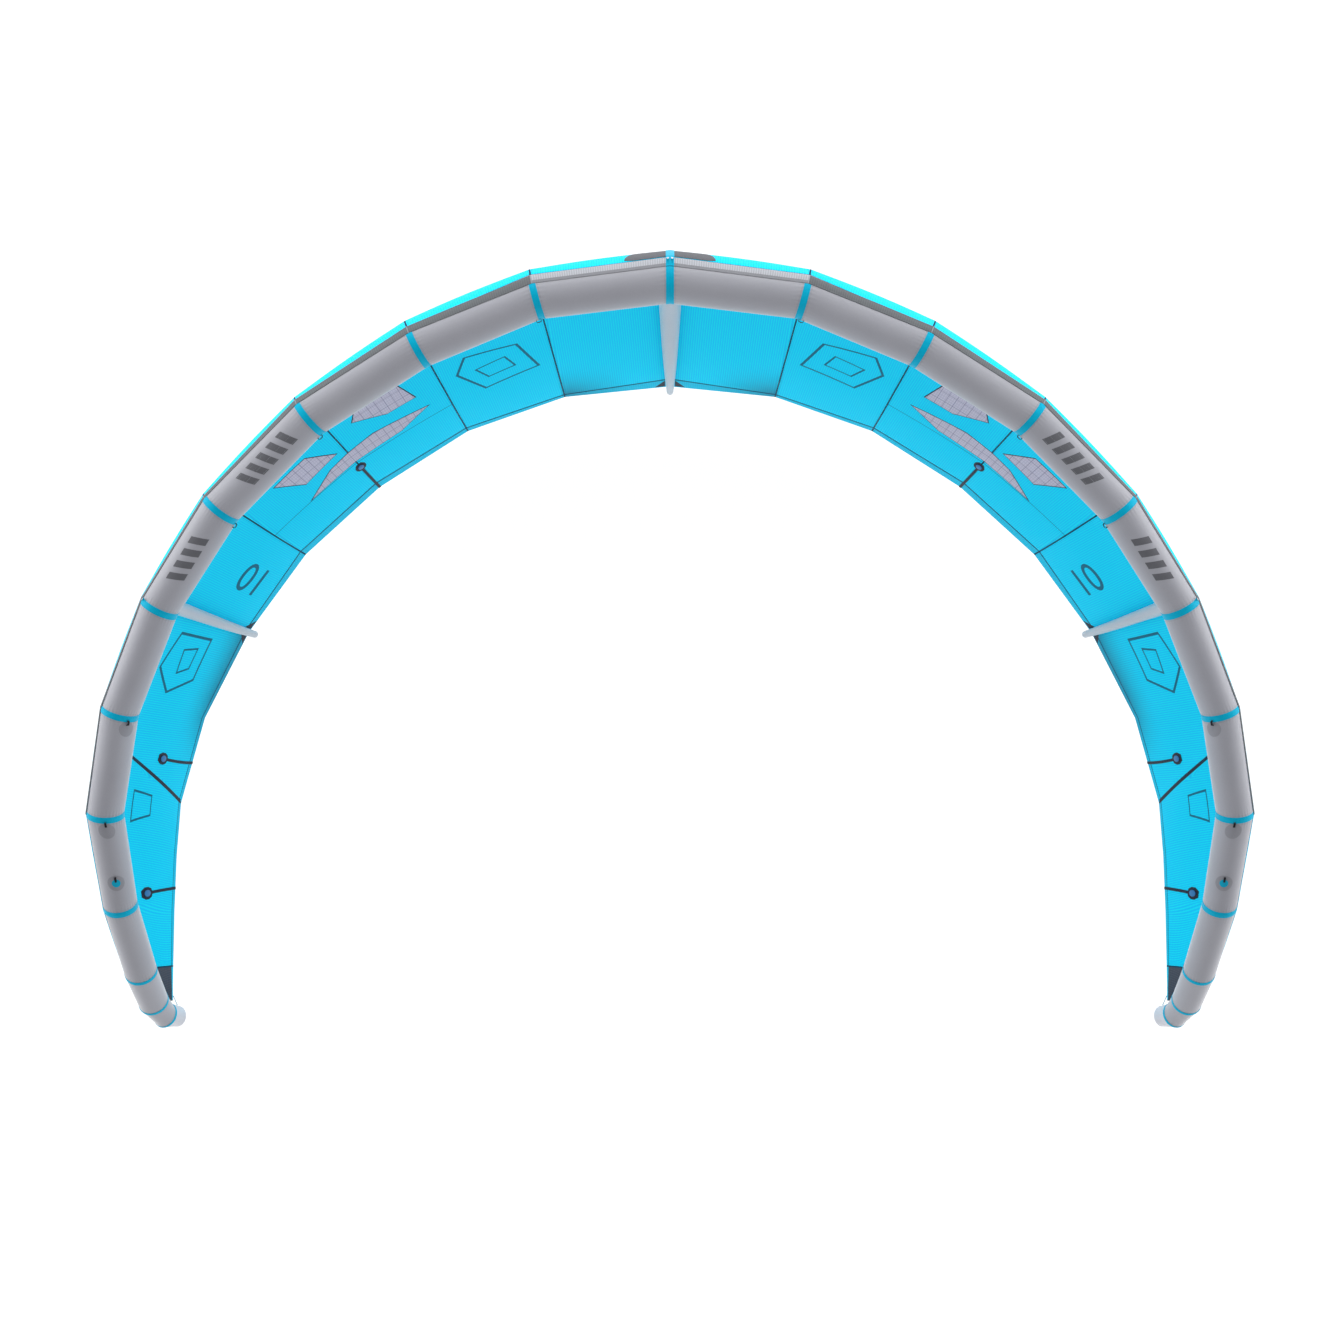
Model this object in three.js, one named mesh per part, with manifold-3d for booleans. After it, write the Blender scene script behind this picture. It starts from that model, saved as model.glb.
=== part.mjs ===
// An inflated kitesurfing kite, stood on the floor on its three strut ends and its two wing tips.
//
// Units are millimetres. The kite is laid out in its flying attitude, with x across the span, y aft
// and z up, and is then stood up: its trailing edge lies in one plane, and that plane is set level,
// a little above the floor, so the leading edge arches over at the top. The flying attitude is what
// a person sees who looks straight at the leading edge.

import * as THREE from 'three';
import { mergeVertices } from 'three/addons/utils/BufferGeometryUtils.js';
import Module from 'manifold-3d';

const wasm = await Module();
wasm.setup();

// How the kite stands
const STAND_ANGLE = 17.5;     // degrees that the trailing edge's plane leans from flying upright
const TAIL_DEPTH = 1455;      // depth of that plane behind the leading edge, at flying height 0
const TAIL_CLEARANCE = 42;    // height of the trailing edge above the floor
const FLOOR_BITE = 3;         // depth to which a round end is flattened where it stands

// Cloth and clearances
const GAP = 0.3;              // clearance between pieces that touch
const SAIL_CLOTH = 2;         // canopy cloth with its hem
const COVER_CLOTH = 1.5;      // cover strip over the join of tube and canopy
const PATCH_CLOTH = 1.5;      // reinforcement on the crown

// Angles round the tube, in degrees, count from straight ahead towards the outside of the arch
const TUBE_SIDES = 24;
const COVER_FROM = 27;
const COVER_TO = 57;
const FACET = 360 / TUBE_SIDES;

// The leading-edge tube: axis and radius at each seam of one half
const SEAMS = [
  { x: 0, y: 0, z: 1272, radius: 78 },
  { x: 436, y: 10, z: 1219, radius: 76 },
  { x: 825, y: 37, z: 1059, radius: 74 },
  { x: 1184, y: 84, z: 833, radius: 71 },
  { x: 1486, y: 149, z: 534, radius: 68 },
  { x: 1702, y: 228, z: 210, radius: 65 },
  { x: 1852, y: 324, z: -140, radius: 64 },
  { x: 1922, y: 434, z: -487, radius: 63 },
  { x: 1899, y: 590, z: -813, radius: 59 },
  { x: 1866, y: 803, z: -1064, radius: 57 },
  { x: 1846, y: 944, z: -1185, radius: 54 },
  { x: 1818, y: 1026, z: -1243, radius: 46 },
  { x: 1783, y: 1078, z: -1253, radius: 38 },
];
const LAST_SEAM = SEAMS.length - 1;
const TIP_FROM = 9;           // the three short sections past this seam make up the tip
const CAP_DEPTH = 22;         // how far the tube's rounded end stands out
const TWIST_FROM = 6;         // past this seam the tube turns aft, and its sections need more rings
const TWIST_STEPS = 2;
const TWIST_GAP = 0.8;        // clearance of the cloth over those sections

// The canopy's ribs: place along the tube in seams, angle at which the cloth leaves the tube, place
// of the rib's tail across and up, and the rows of cloth as far as the next rib
const RIBS = [
  { seam: 0, leave: 74.5, tailX: 0, tailZ: 1095, rows: 3 },
  { seam: 1, leave: 75, tailX: 405, tailZ: 1053, rows: 3 },
  { seam: 2, leave: 72.5, tailX: 776, tailZ: 918, rows: 3 },
  { seam: 3, leave: 76, tailX: 1108, tailZ: 699, rows: 3 },
  { seam: 4, leave: 76, tailX: 1381, tailZ: 438, rows: 3 },
  { seam: 5, leave: 77.5, tailX: 1583, tailZ: 143, rows: 3 },
  { seam: 6, leave: 79, tailX: 1733, tailZ: -179, rows: 1 },
  { seam: 6.06, leave: 80, tailX: 1806, tailZ: -491, rows: 2 },
  { seam: 7, leave: 81.5, tailX: 1812, tailZ: -680, rows: 2 },
  { seam: 8, leave: 86, tailX: 1810, tailZ: -877, rows: 3 },
  { seam: 9, leave: 107, tailX: 1804, tailZ: -1075, rows: 3 },
  { seam: 10, leave: 130, tailX: 1802, tailZ: -1142, rows: 3 },
  { seam: 10.55, leave: 150, tailX: 1799, tailZ: -1196, rows: 1 },
];
const WRAP = 12;              // most degrees of cloth that lie on the tube
const LIFT_OFF = 0.05;        // how much steeper than a tangent the cloth leaves the tube
const LEAVE_STEPS = 2;        // steps of cloth that lie on the tube
const CHORD_STEPS = 12;       // steps of cloth from the tube to the trailing edge
const CROWD = 1.35;           // above 1, the steps crowd towards the tube, where the cloth curves
const FULLNESS = 2.7;         // sets the deepest camber at 1 / (1 + FULLNESS) of the chord
const BILLOW = 7;             // height of the cloth between two ribs above a straight line

// The pieces that the canopy is cut in, by the ribs where each one starts and ends
const CANOPY_PIECES = [
  { name: 'canopy_1', from: 0, to: 1 },
  { name: 'canopy_2', from: 1, to: 2 },
  { name: 'canopy_3', from: 2, to: 3 },
  { name: 'canopy_4', from: 3, to: 4 },
  { name: 'canopy_5', from: 4, to: 5 },
  { name: 'canopy_6', from: 5, to: 7 },
  { name: 'canopy_7', from: 7, to: 10 },
  { name: 'tip_panel', from: 10, to: 12 },
];

// Inflated struts: rib, radius at the tube and at the tail, and how late the taper comes
const STRUT_SIDES = 16;
const CENTER_STRUT = { rib: 0, root: 50, tail: 13.5, taper: 1.4 };
const SIDE_STRUT = { rib: 5, root: 32, tail: 13.5, taper: 1 };
const RIDGE = 7;              // degrees that the cloth falls away on each side of a strut

// Battens under the tail of the canopy: places of the two ends across the span in ribs, and length
const BATTENS = [
  { name: 'batten_1', head: 3, tail: 3, length: 420 },
  { name: 'batten_2', head: 6.71, tail: 6.53, length: 335 },
  { name: 'batten_3', head: 8.79, tail: 8.6, length: 270 },
];
const BATTEN = { width: 11, thickness: 3, headWidth: 44, headLength: 78, gap: 0.8 };

// Webbing tabs for the bridle and flying lines: place along the tube in seams, and angle round it
const TABS = [
  { name: 'line_tab_1', seam: 3.035, angle: -85.5 },
  { name: 'line_tab_2', seam: 4.035, angle: -85.5 },
  { name: 'line_tab_3', seam: 6.035, angle: -40.5 },
  { name: 'line_tab_4', seam: 7.04, angle: -10.5 },
  { name: 'line_tab_5', seam: 7.62, angle: -10.5 },
];
const TAB = { length: 18, width: 7, height: 9 };


// The cord from the tail's outer corner, a place in ribs, to a place on the end of the tube, and
// how far its two ends stand off
const TIP_LINE = { radius: 1.5, rib: 11.7, startOff: 1.9, seam: 11.85, angle: 255, endOff: 1.2 };

const PATCH = { halfWidth: 142, corner: 42 };

// Finishes
const COLOURS = {
  tube: { color: 0xa6a8b2, roughness: 0.62 },
  canopy: { color: 0x1dc6ee, roughness: 0.5 },
  cover: { color: 0x5c6265, roughness: 0.75 },
  tipPanel: { color: 0x4c5b6d, roughness: 0.7 },
  strut: { color: 0xbac8d1, roughness: 0.6 },
  batten: { color: 0x232c38, roughness: 0.55 },
  webbing: { color: 0x17191c, roughness: 0.85 },
  line: { color: 0xcfd4d8, roughness: 0.7 },
};

const kite = new THREE.Group();

function cosine(degrees) {
  return Math.cos(THREE.MathUtils.degToRad(degrees));
}

function sine(degrees) {
  return Math.sin(THREE.MathUtils.degToRad(degrees));
}

function sum(...terms) {
  const total = new THREE.Vector3();
  for (const [vector, factor] of terms) total.addScaledVector(vector, factor);
  return total;
}

// Turns a point of the flying attitude into the standing one, with the floor at z = 0
const UP_FROM_FLOOR = new THREE.Vector3(0, -cosine(STAND_ANGLE), sine(STAND_ANGLE));
const ALONG_FLOOR = new THREE.Vector3(0, sine(STAND_ANGLE), cosine(STAND_ANGLE));
const FLOOR_DEPTH = TAIL_DEPTH * cosine(STAND_ANGLE) + TAIL_CLEARANCE;

function stood(point) {
  const height = FLOOR_DEPTH + point.dot(UP_FROM_FLOOR);
  return new THREE.Vector3(point.x, point.dot(ALONG_FLOOR), height);
}

function tailPoint(x, z) {
  return new THREE.Vector3(x, TAIL_DEPTH + z * Math.tan(THREE.MathUtils.degToRad(STAND_ANGLE)), z);
}

// A closed mesh from points and faces of three or four corners, turned to face outwards
function closedMesh(points, faces) {
  const triangles = [];
  for (const face of faces) {
    for (let corner = 2; corner < face.length; corner += 1) {
      triangles.push([face[0], face[corner - 1], face[corner]]);
    }
  }
  let volume = 0;
  for (const [a, b, c] of triangles) {
    volume += points[a].dot(new THREE.Vector3().crossVectors(points[b], points[c]));
  }
  if (volume < 0) {
    for (const triangle of triangles) triangle.reverse();
  }
  const geometry = new THREE.BufferGeometry();
  const flat = points.flatMap((point) => point.toArray());
  geometry.setAttribute('position', new THREE.Float32BufferAttribute(flat, 3));
  geometry.setIndex(triangles.flat());
  return geometry;
}

// A solid through a row of closed rings that all have the same number of points
function loft(rings) {
  const count = rings[0].length;
  const faces = [];
  for (let ring = 1; ring < rings.length; ring += 1) {
    for (let corner = 0; corner < count; corner += 1) {
      const next = (corner + 1) % count;
      const near = (ring - 1) * count;
      const far = ring * count;
      faces.push([near + corner, near + next, far + next, far + corner]);
    }
  }
  const first = [...Array(count).keys()];
  faces.push(first.slice().reverse());
  faces.push(first.map((corner) => (rings.length - 1) * count + corner));
  return closedMesh(rings.flat(), faces);
}

// A sheet of cloth: rows of { under, over } points
function sheet(rows) {
  const columns = rows[0].length;
  const points = rows.flat().flatMap((pair) => [pair.under, pair.over]);
  const under = (row, column) => 2 * (row * columns + column);
  const over = (row, column) => under(row, column) + 1;
  const lastRow = rows.length - 1;
  const lastColumn = columns - 1;
  const faces = [];
  for (let row = 0; row < lastRow; row += 1) {
    for (let column = 0; column < lastColumn; column += 1) {
      for (const [side, turn] of [[under, false], [over, true]]) {
        const face = [side(row, column), side(row + 1, column), side(row + 1, column + 1)];
        face.push(side(row, column + 1));
        faces.push(turn ? face.reverse() : face);
      }
    }
    faces.push([under(row, 0), over(row, 0), over(row + 1, 0), under(row + 1, 0)]);
    const edge = [under(row, lastColumn), over(row, lastColumn)];
    edge.push(over(row + 1, lastColumn), under(row + 1, lastColumn));
    faces.push(edge.reverse());
  }
  for (let column = 0; column < lastColumn; column += 1) {
    const near = [under(0, column), over(0, column), over(0, column + 1), under(0, column + 1)];
    faces.push(near.reverse());
    const far = [under(lastRow, column), over(lastRow, column)];
    far.push(over(lastRow, column + 1), under(lastRow, column + 1));
    faces.push(far);
  }
  return closedMesh(points, faces);
}

// The tube's cross frame at a seam lies in the plane where two sections are mitred
function seamFrame(index) {
  const here = new THREE.Vector3(SEAMS[index].x, SEAMS[index].y, SEAMS[index].z);
  const along = new THREE.Vector3();
  for (const step of [-1, 1]) {
    const other = SEAMS[Math.abs(index + step)];
    if (!other) continue;
    const mirror = index + step < 0 ? -1 : 1;
    const run = new THREE.Vector3(mirror * other.x, other.y, other.z).sub(here);
    along.addScaledVector(run.normalize(), step);
  }
  along.normalize();
  const ahead = new THREE.Vector3(0, -1, 0);
  ahead.addScaledVector(along, -ahead.dot(along)).normalize();
  const out = new THREE.Vector3().crossVectors(ahead, along);
  return { here, along, ahead, out, radius: SEAMS[index].radius };
}

const FRAMES = SEAMS.map((seam, index) => seamFrame(index));

function seamPoint(index, angle, lift) {
  const { here, ahead, out, radius } = FRAMES[index];
  const reach = radius + lift;
  return sum([here, 1], [ahead, reach * cosine(angle)], [out, reach * sine(angle)]);
}

// A point on the tube, or lifted off it, at any place along the tube
function tubePoint(seam, angle, lift) {
  const index = Math.min(Math.floor(seam), LAST_SEAM - 1);
  const near = seamPoint(index, angle, lift);
  return near.lerp(seamPoint(index + 1, angle, lift), seam - index);
}

function tubeRing(seam, lift) {
  const ring = [];
  for (let side = 0; side < TUBE_SIDES; side += 1) {
    ring.push(tubePoint(seam, COVER_FROM + side * FACET, lift));
  }
  return ring;
}

function shifted(ring, direction, distance) {
  return ring.map((point) => sum([point, 1], [direction, distance]));
}

function tubeSection(from, to) {
  const rings = [];
  for (let index = from; index < to; index += 1) {
    const steps = index < TWIST_FROM ? 1 : TWIST_STEPS;
    for (let step = 0; step < steps; step += 1) {
      const ring = tubeRing(index + step / steps, 0);
      const inset = index === from && step === 0 ? GAP / 2 : 0;
      rings.push(shifted(ring, FRAMES[index].along, inset));
    }
  }
  const inset = to < LAST_SEAM ? -GAP / 2 : 0;
  rings.push(shifted(tubeRing(to, 0), FRAMES[to].along, inset));
  return rings;
}

// The tube's outer end is rounded off like a bolster
function tipSection() {
  const rings = tubeSection(TIP_FROM, LAST_SEAM);
  const { here, along } = FRAMES[LAST_SEAM];
  for (const turn of [25, 50, 72]) {
    const centre = sum([here, 1], [along, CAP_DEPTH * sine(turn)]);
    rings.push(tubeRing(LAST_SEAM, 0).map((point) => {
      return sum([centre, 1], [point, cosine(turn)], [here, -cosine(turn)]);
    }));
  }
  return rings;
}

// The underside of the canopy along one rib, from the cover strip to the trailing edge
function ribLine(rib) {
  const line = [];
  const radius = SEAMS[Math.floor(rib.seam)].radius;
  const strip = COVER_TO + THREE.MathUtils.radToDeg(2 * GAP / radius);
  const start = Math.max(strip, rib.leave - WRAP);
  for (let step = 0; step <= LEAVE_STEPS; step += 1) {
    const angle = THREE.MathUtils.lerp(start, rib.leave, step / LEAVE_STEPS);
    line.push(tubePoint(rib.seam, angle, rib.seam > TWIST_FROM ? TWIST_GAP : GAP));
  }
  const head = line[LEAVE_STEPS];
  const tail = tailPoint(rib.tailX, rib.tailZ);
  const chord = tail.distanceTo(head);
  const aft = sum([tail, 1 / chord], [head, -1 / chord]);
  const axis = tubePoint(rib.seam, 0, 0).add(tubePoint(rib.seam, 180, 0)).multiplyScalar(0.5);
  const normal = head.clone().sub(axis).normalize();
  const out = sum([tubePoint(rib.seam, 90, 0), 1], [axis, -1]);
  out.addScaledVector(aft, -out.dot(aft)).normalize();
  // The cloth leaves the tube almost as a tangent, and its camber dies out towards the tail
  const slope = LIFT_OFF - aft.dot(normal) / out.dot(normal);
  for (let step = 1; step <= CHORD_STEPS; step += 1) {
    const part = (step / CHORD_STEPS) ** CROWD;
    const rise = slope * chord * part * (1 - part) ** FULLNESS;
    line.push(sum([head, 1], [aft, part * chord], [out, rise]));
  }
  return line;
}

// All rows of the canopy's underside on one half, and the place of each rib among them
const ROWS = [];
const RIB_ROW = [];
for (let index = 0; index < RIBS.length; index += 1) {
  const rib = RIBS[index];
  const next = RIBS[Math.min(index + 1, RIBS.length - 1)];
  RIB_ROW.push(ROWS.length);
  for (let step = 0; step < rib.rows; step += 1) {
    const between = {};
    for (const key of ['seam', 'leave', 'tailX', 'tailZ']) {
      between[key] = THREE.MathUtils.lerp(rib[key], next[key], step / rib.rows);
    }
    ROWS.push(ribLine(between));
  }
}

// Rows between two ribs swell outwards a little
function swell() {
  for (let rib = 0; rib < RIBS.length - 1; rib += 1) {
    const near = ROWS[RIB_ROW[rib]][LEAVE_STEPS];
    const width = near.distanceTo(ROWS[RIB_ROW[rib + 1]][LEAVE_STEPS]);
    for (let row = RIB_ROW[rib] + 1; row < RIB_ROW[rib + 1]; row += 1) {
      const part = (row - RIB_ROW[rib]) / RIBS[rib].rows;
      const height = BILLOW * Math.min(1, width / 400) * Math.sin(Math.PI * part);
      for (let column = LEAVE_STEPS + 1; column < ROWS[row].length; column += 1) {
        const along = (column - LEAVE_STEPS) / CHORD_STEPS;
        const share = Math.sin(Math.PI * Math.min(1, along * 1.05)) ** 0.7;
        ROWS[row][column].addScaledVector(clothNormal(row, column), height * share || 0);
      }
    }
  }
}

function mirrored(point) {
  return new THREE.Vector3(-point.x, point.y, point.z);
}

function clothNormal(row, column) {
  const lastColumn = ROWS[row].length - 1;
  const inner = row > 0 ? ROWS[row - 1][column] : mirrored(ROWS[1][column]);
  const outer = ROWS[Math.min(row + 1, ROWS.length - 1)][column];
  const fore = ROWS[row][Math.max(column - 1, 0)];
  const aft = ROWS[row][Math.min(column + 1, lastColumn)];
  const across = outer.clone().sub(inner);
  return aft.clone().sub(fore).cross(across).normalize().negate();
}

swell();
const NORMALS = ROWS.map((row, index) => row.map((point, column) => clothNormal(index, column)));

function canopyPiece({ from, to }) {
  const first = RIB_ROW[from];
  const last = RIB_ROW[to];
  const rows = [];
  for (let row = first; row <= last; row += 1) {
    rows.push(ROWS[row].map((point, column) => {
      const under = point.clone();
      const isEnd = row === first || (row === last && to < RIBS.length - 1);
      if (isEnd) {
        const beside = ROWS[row === first ? row + 1 : row - 1][column];
        under.addScaledVector(beside.clone().sub(point).normalize(), GAP / 2);
      }
      return { under, over: sum([under, 1], [NORMALS[row][column], SAIL_CLOTH]) };
    }));
  }
  return sheet(rows);
}

// A point of the canopy at any place, counted in ribs across and in parts of the chord, lifted by
// a distance from its underside
function canopyPoint(span, chord, lift) {
  const rib = Math.min(Math.floor(span), RIBS.length - 2);
  const row = RIB_ROW[rib] + (span - rib) * RIBS[rib].rows;
  const column = LEAVE_STEPS + CHORD_STEPS * Math.max(chord, 0) ** (1 / CROWD);
  const nearRow = Math.min(Math.floor(row), ROWS.length - 2);
  const nearColumn = Math.min(Math.floor(column), ROWS[0].length - 2);
  const blend = (grid) => {
    const near = grid[nearRow][nearColumn].clone();
    near.lerp(grid[nearRow][nearColumn + 1], column - nearColumn);
    const far = grid[nearRow + 1][nearColumn].clone();
    far.lerp(grid[nearRow + 1][nearColumn + 1], column - nearColumn);
    return near.lerp(far, row - nearRow);
  };
  return sum([blend(ROWS), 1], [blend(NORMALS).normalize(), lift]);
}

function coverStrip() {
  const rows = [];
  for (let seam = 0; seam <= 7; seam += 1) {
    const inset = GAP / 2 * ((seam === 0) - (seam === 7));
    const along = FRAMES[seam].along;
    const row = [];
    for (let angle = COVER_FROM; angle <= COVER_TO; angle += FACET) {
      const under = sum([seamPoint(seam, angle, GAP), 1], [along, inset]);
      const over = sum([seamPoint(seam, angle, GAP + COVER_CLOTH), 1], [along, inset]);
      row.push({ under, over });
    }
    rows.push(row);
  }
  return sheet(rows);
}

// A strut hangs under one rib of the canopy and runs past its tail down to the floor
function strut({ rib, root, tail, taper }) {
  const axis = [];
  for (let step = 1; step <= CHORD_STEPS; step += 1) {
    const chord = (step / CHORD_STEPS) ** CROWD;
    const radius = root - (root - tail) * chord ** taper;
    const drop = (radius + GAP) / cosine(RIDGE);
    axis.push({ point: canopyPoint(rib, chord, -drop), radius });
  }
  const end = axis.at(-1).point;
  const run = end.clone().sub(axis.at(-2).point).normalize();
  const floorward = -run.dot(UP_FROM_FLOOR);
  const height = FLOOR_DEPTH + end.dot(UP_FROM_FLOOR);
  const extra = (height - tail + FLOOR_BITE) / floorward;
  for (const turn of [0, 35, 62, 80]) {
    const point = sum([end, 1], [run, extra + tail * sine(turn)]);
    axis.push({ point, radius: tail * cosine(turn) });
  }
  const side = new THREE.Vector3().crossVectors(run, NORMALS[RIB_ROW[rib]][ROWS[0].length - 1]);
  const rings = axis.map(({ point, radius }, index) => {
    const before = axis[Math.max(index - 1, 0)].point;
    const after = axis[Math.min(index + 1, axis.length - 1)].point;
    const along = after.clone().sub(before).normalize();
    const across = side.clone().addScaledVector(along, -side.dot(along)).normalize();
    const up = new THREE.Vector3().crossVectors(across, along);
    const ring = [];
    for (let corner = 0; corner < STRUT_SIDES; corner += 1) {
      const angle = 360 * (corner + 0.5) / STRUT_SIDES;
      ring.push(sum([point, 1], [across, radius * cosine(angle)], [up, radius * sine(angle)]));
    }
    return ring;
  });
  const saddle = [];
  const seam = RIBS[rib].seam;
  if (seam === 0) saddle.push(tubeRing(0.5, GAP).map(mirrored));
  else saddle.push(tubeRing(seam - 0.5, GAP));
  saddle.push(tubeRing(seam, GAP), tubeRing(seam + 0.5, GAP));
  return toGeometry(toSolid(loft(rings)).subtract(toSolid(loft(saddle))));
}

function batten({ head, tail, length }) {
  const chord = canopyPoint(tail, 1, 0).distanceTo(canopyPoint(head, 0.6, 0)) / 0.4;
  const outline = [
    { at: 2, half: BATTEN.width / 2 },
    { at: (length - BATTEN.headLength) / 2, half: BATTEN.width / 2 },
    { at: length - BATTEN.headLength, half: BATTEN.width / 2 },
    { at: length - BATTEN.headLength * 0.94, half: BATTEN.headWidth * 0.34 },
    { at: length - BATTEN.headLength * 0.66, half: BATTEN.headWidth / 2 },
    { at: length - BATTEN.headLength * 0.34, half: BATTEN.headWidth / 2 },
    { at: length, half: BATTEN.headWidth * 0.26 },
  ];
  const rows = [];
  for (const side of [-1, 0, 1]) {
    rows.push(outline.map(({ at, half }) => {
      const span = THREE.MathUtils.lerp(tail, head, at / length);
      const part = 1 - at / chord;
      const width = canopyPoint(span + 0.05, part, 0).distanceTo(canopyPoint(span - 0.05, part, 0));
      const place = [span + 0.1 * side * half / width, part];
      const over = canopyPoint(...place, -BATTEN.gap);
      return { under: canopyPoint(...place, -BATTEN.gap - BATTEN.thickness), over };
    }));
  }
  return sheet(rows);
}

function lineTab({ seam, angle }) {
  const low = tubePoint(seam, angle - FACET / 2, 0);
  const high = tubePoint(seam, angle + FACET / 2, 0);
  const along = tubePoint(seam + 0.02, angle, 0).sub(tubePoint(seam - 0.02, angle, 0)).normalize();
  const across = high.clone().sub(low).normalize();
  const up = new THREE.Vector3().crossVectors(across, along).normalize();
  const middle = low.clone().lerp(high, 0.5);
  const axis = tubePoint(seam, 0, 0).lerp(tubePoint(seam, 180, 0), 0.5);
  if (up.dot(middle.clone().sub(axis)) < 0) up.negate();
  const rings = [];
  for (const { rise, spread } of [{ rise: GAP, spread: 1 }, { rise: TAB.height, spread: 0.8 }]) {
    const ring = [];
    for (const [sideways, lengthways] of [[-1, -1], [1, -1], [1, 1], [-1, 1]]) {
      ring.push(sum(
        [middle, 1],
        [up, rise],
        [across, sideways * TAB.width / 2 * spread],
        [along, lengthways * TAB.length / 2 * spread],
      ));
    }
    rings.push(ring);
  }
  return loft(rings);
}

// The cord that ties the tail's outer corner to the end of the tube
function tipLine() {
  const corner = canopyPoint(TIP_LINE.rib, 1, SAIL_CLOTH / 2);
  const inland = canopyPoint(TIP_LINE.rib, 0.8, SAIL_CLOTH / 2);
  const away = corner.clone().sub(inland).normalize();
  const start = sum([corner, 1], [away, TIP_LINE.startOff]);
  const finish = tubePoint(TIP_LINE.seam, TIP_LINE.angle, TIP_LINE.endOff);
  const section = new THREE.Shape();
  section.absarc(0, 0, TIP_LINE.radius, 0, 2 * Math.PI);
  const extrudePath = new THREE.LineCurve3(start, finish);
  return new THREE.ExtrudeGeometry(section, { extrudePath, steps: 6, curveSegments: 8 });
}

// The reinforcement on top of the crown crosses from one half to the other, and reaches as far
// behind the canopy's first step aft of the tube as it does ahead of it
function crownPatch() {
  const middle = (1 / CHORD_STEPS) ** CROWD;
  const lift = SAIL_CLOTH + 2 * GAP;
  const half = [1, 0.94, 0.82, 0.7, 0.35, 0].map((part) => {
    const x = part * PATCH.halfWidth;
    const reach = Math.max(0, x - (PATCH.halfWidth - PATCH.corner)) / PATCH.corner;
    const share = Math.max(0.2, Math.sqrt(1 - Math.min(reach, 1) ** 2));
    return [-1, -0.5, 0, 0.5, 1].map((place) => {
      const chord = middle * (1 + place * share);
      const under = canopyPoint(x / SEAMS[1].x, chord, lift);
      return { under, over: canopyPoint(x / SEAMS[1].x, chord, lift + PATCH_CLOTH) };
    });
  });
  const other = half.slice(0, -1).reverse().map((row) => row.map(({ under, over }) => {
    return { under: mirrored(under), over: mirrored(over) };
  }));
  return sheet([...half, ...other]);
}

function toSolid(geometry) {
  const bare = geometry.clone();
  bare.deleteAttribute('normal');
  bare.deleteAttribute('uv');
  const merged = mergeVertices(bare, 1e-4);
  const vertProperties = new Float32Array(merged.attributes.position.array);
  const triVerts = new Uint32Array(merged.index.array);
  return new wasm.Manifold(new wasm.Mesh({ numProp: 3, vertProperties, triVerts }));
}

function toGeometry(solid) {
  const { vertProperties, triVerts } = solid.getMesh();
  const geometry = new THREE.BufferGeometry();
  geometry.setAttribute('position', new THREE.Float32BufferAttribute(vertProperties, 3));
  geometry.setIndex([...triVerts]);
  return geometry;
}

// Stands a piece up and flattens what would reach below the floor
function standUp(geometry) {
  const places = geometry.attributes.position;
  const point = new THREE.Vector3();
  let lowest = Infinity;
  for (let index = 0; index < places.count; index += 1) {
    const place = stood(point.fromBufferAttribute(places, index));
    places.setXYZ(index, place.x, place.y, place.z);
    lowest = Math.min(lowest, place.z);
  }
  if (lowest > -1e-6) return geometry;
  const below = new THREE.BoxGeometry(6000, 6000, 200).translate(0, 0, -100);
  return toGeometry(toSolid(geometry).subtract(toSolid(below)));
}

function mirrorGeometry(geometry) {
  const places = geometry.attributes.position;
  for (let index = 0; index < places.count; index += 1) places.setX(index, -places.getX(index));
  const corners = geometry.index ? [...geometry.index.array] : [...Array(places.count).keys()];
  for (let first = 0; first < corners.length; first += 3) {
    [corners[first], corners[first + 1]] = [corners[first + 1], corners[first]];
  }
  geometry.setIndex(corners);
  return geometry;
}

function add(name, geometry, finish) {
  const stoodUp = standUp(geometry);
  stoodUp.computeVertexNormals();
  const material = new THREE.MeshStandardMaterial({ ...COLOURS[finish], metalness: 0 });
  const mesh = new THREE.Mesh(stoodUp, material);
  mesh.name = name;
  kite.add(mesh);
}

// Adds a piece on the right, and its mirror image on the left
function addPair(name, make, finish) {
  const [stem, number] = name.split(/_(?=\d+$)/);
  const tail = number ? `_${number}` : '';
  add(`${stem}_right${tail}`, make(), finish);
  add(`${stem}_left${tail}`, mirrorGeometry(make()), finish);
}

for (let seam = 0; seam < TIP_FROM; seam += 1) {
  addPair(`tube_panel_${seam + 1}`, () => loft(tubeSection(seam, seam + 1)), 'tube');
}
addPair('tube_tip', () => loft(tipSection()), 'tube');
addPair('cover_strip', coverStrip, 'cover');
for (const piece of CANOPY_PIECES) {
  const finish = piece.name === 'tip_panel' ? 'tipPanel' : 'canopy';
  addPair(piece.name, () => canopyPiece(piece), finish);
}
add('strut_center', strut(CENTER_STRUT), 'strut');
addPair('strut', () => strut(SIDE_STRUT), 'strut');
for (const piece of BATTENS) addPair(piece.name, () => batten(piece), 'batten');
for (const piece of TABS) addPair(piece.name, () => lineTab(piece), 'webbing');
addPair('tip_line', tipLine, 'line');
add('crown_patch', crownPatch(), 'cover');

// The origin is on the floor, under the middle of the kite
const box = new THREE.Box3().setFromObject(kite);
kite.position.y = -(box.min.y + box.max.y) / 2;

export default kite;
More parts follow.
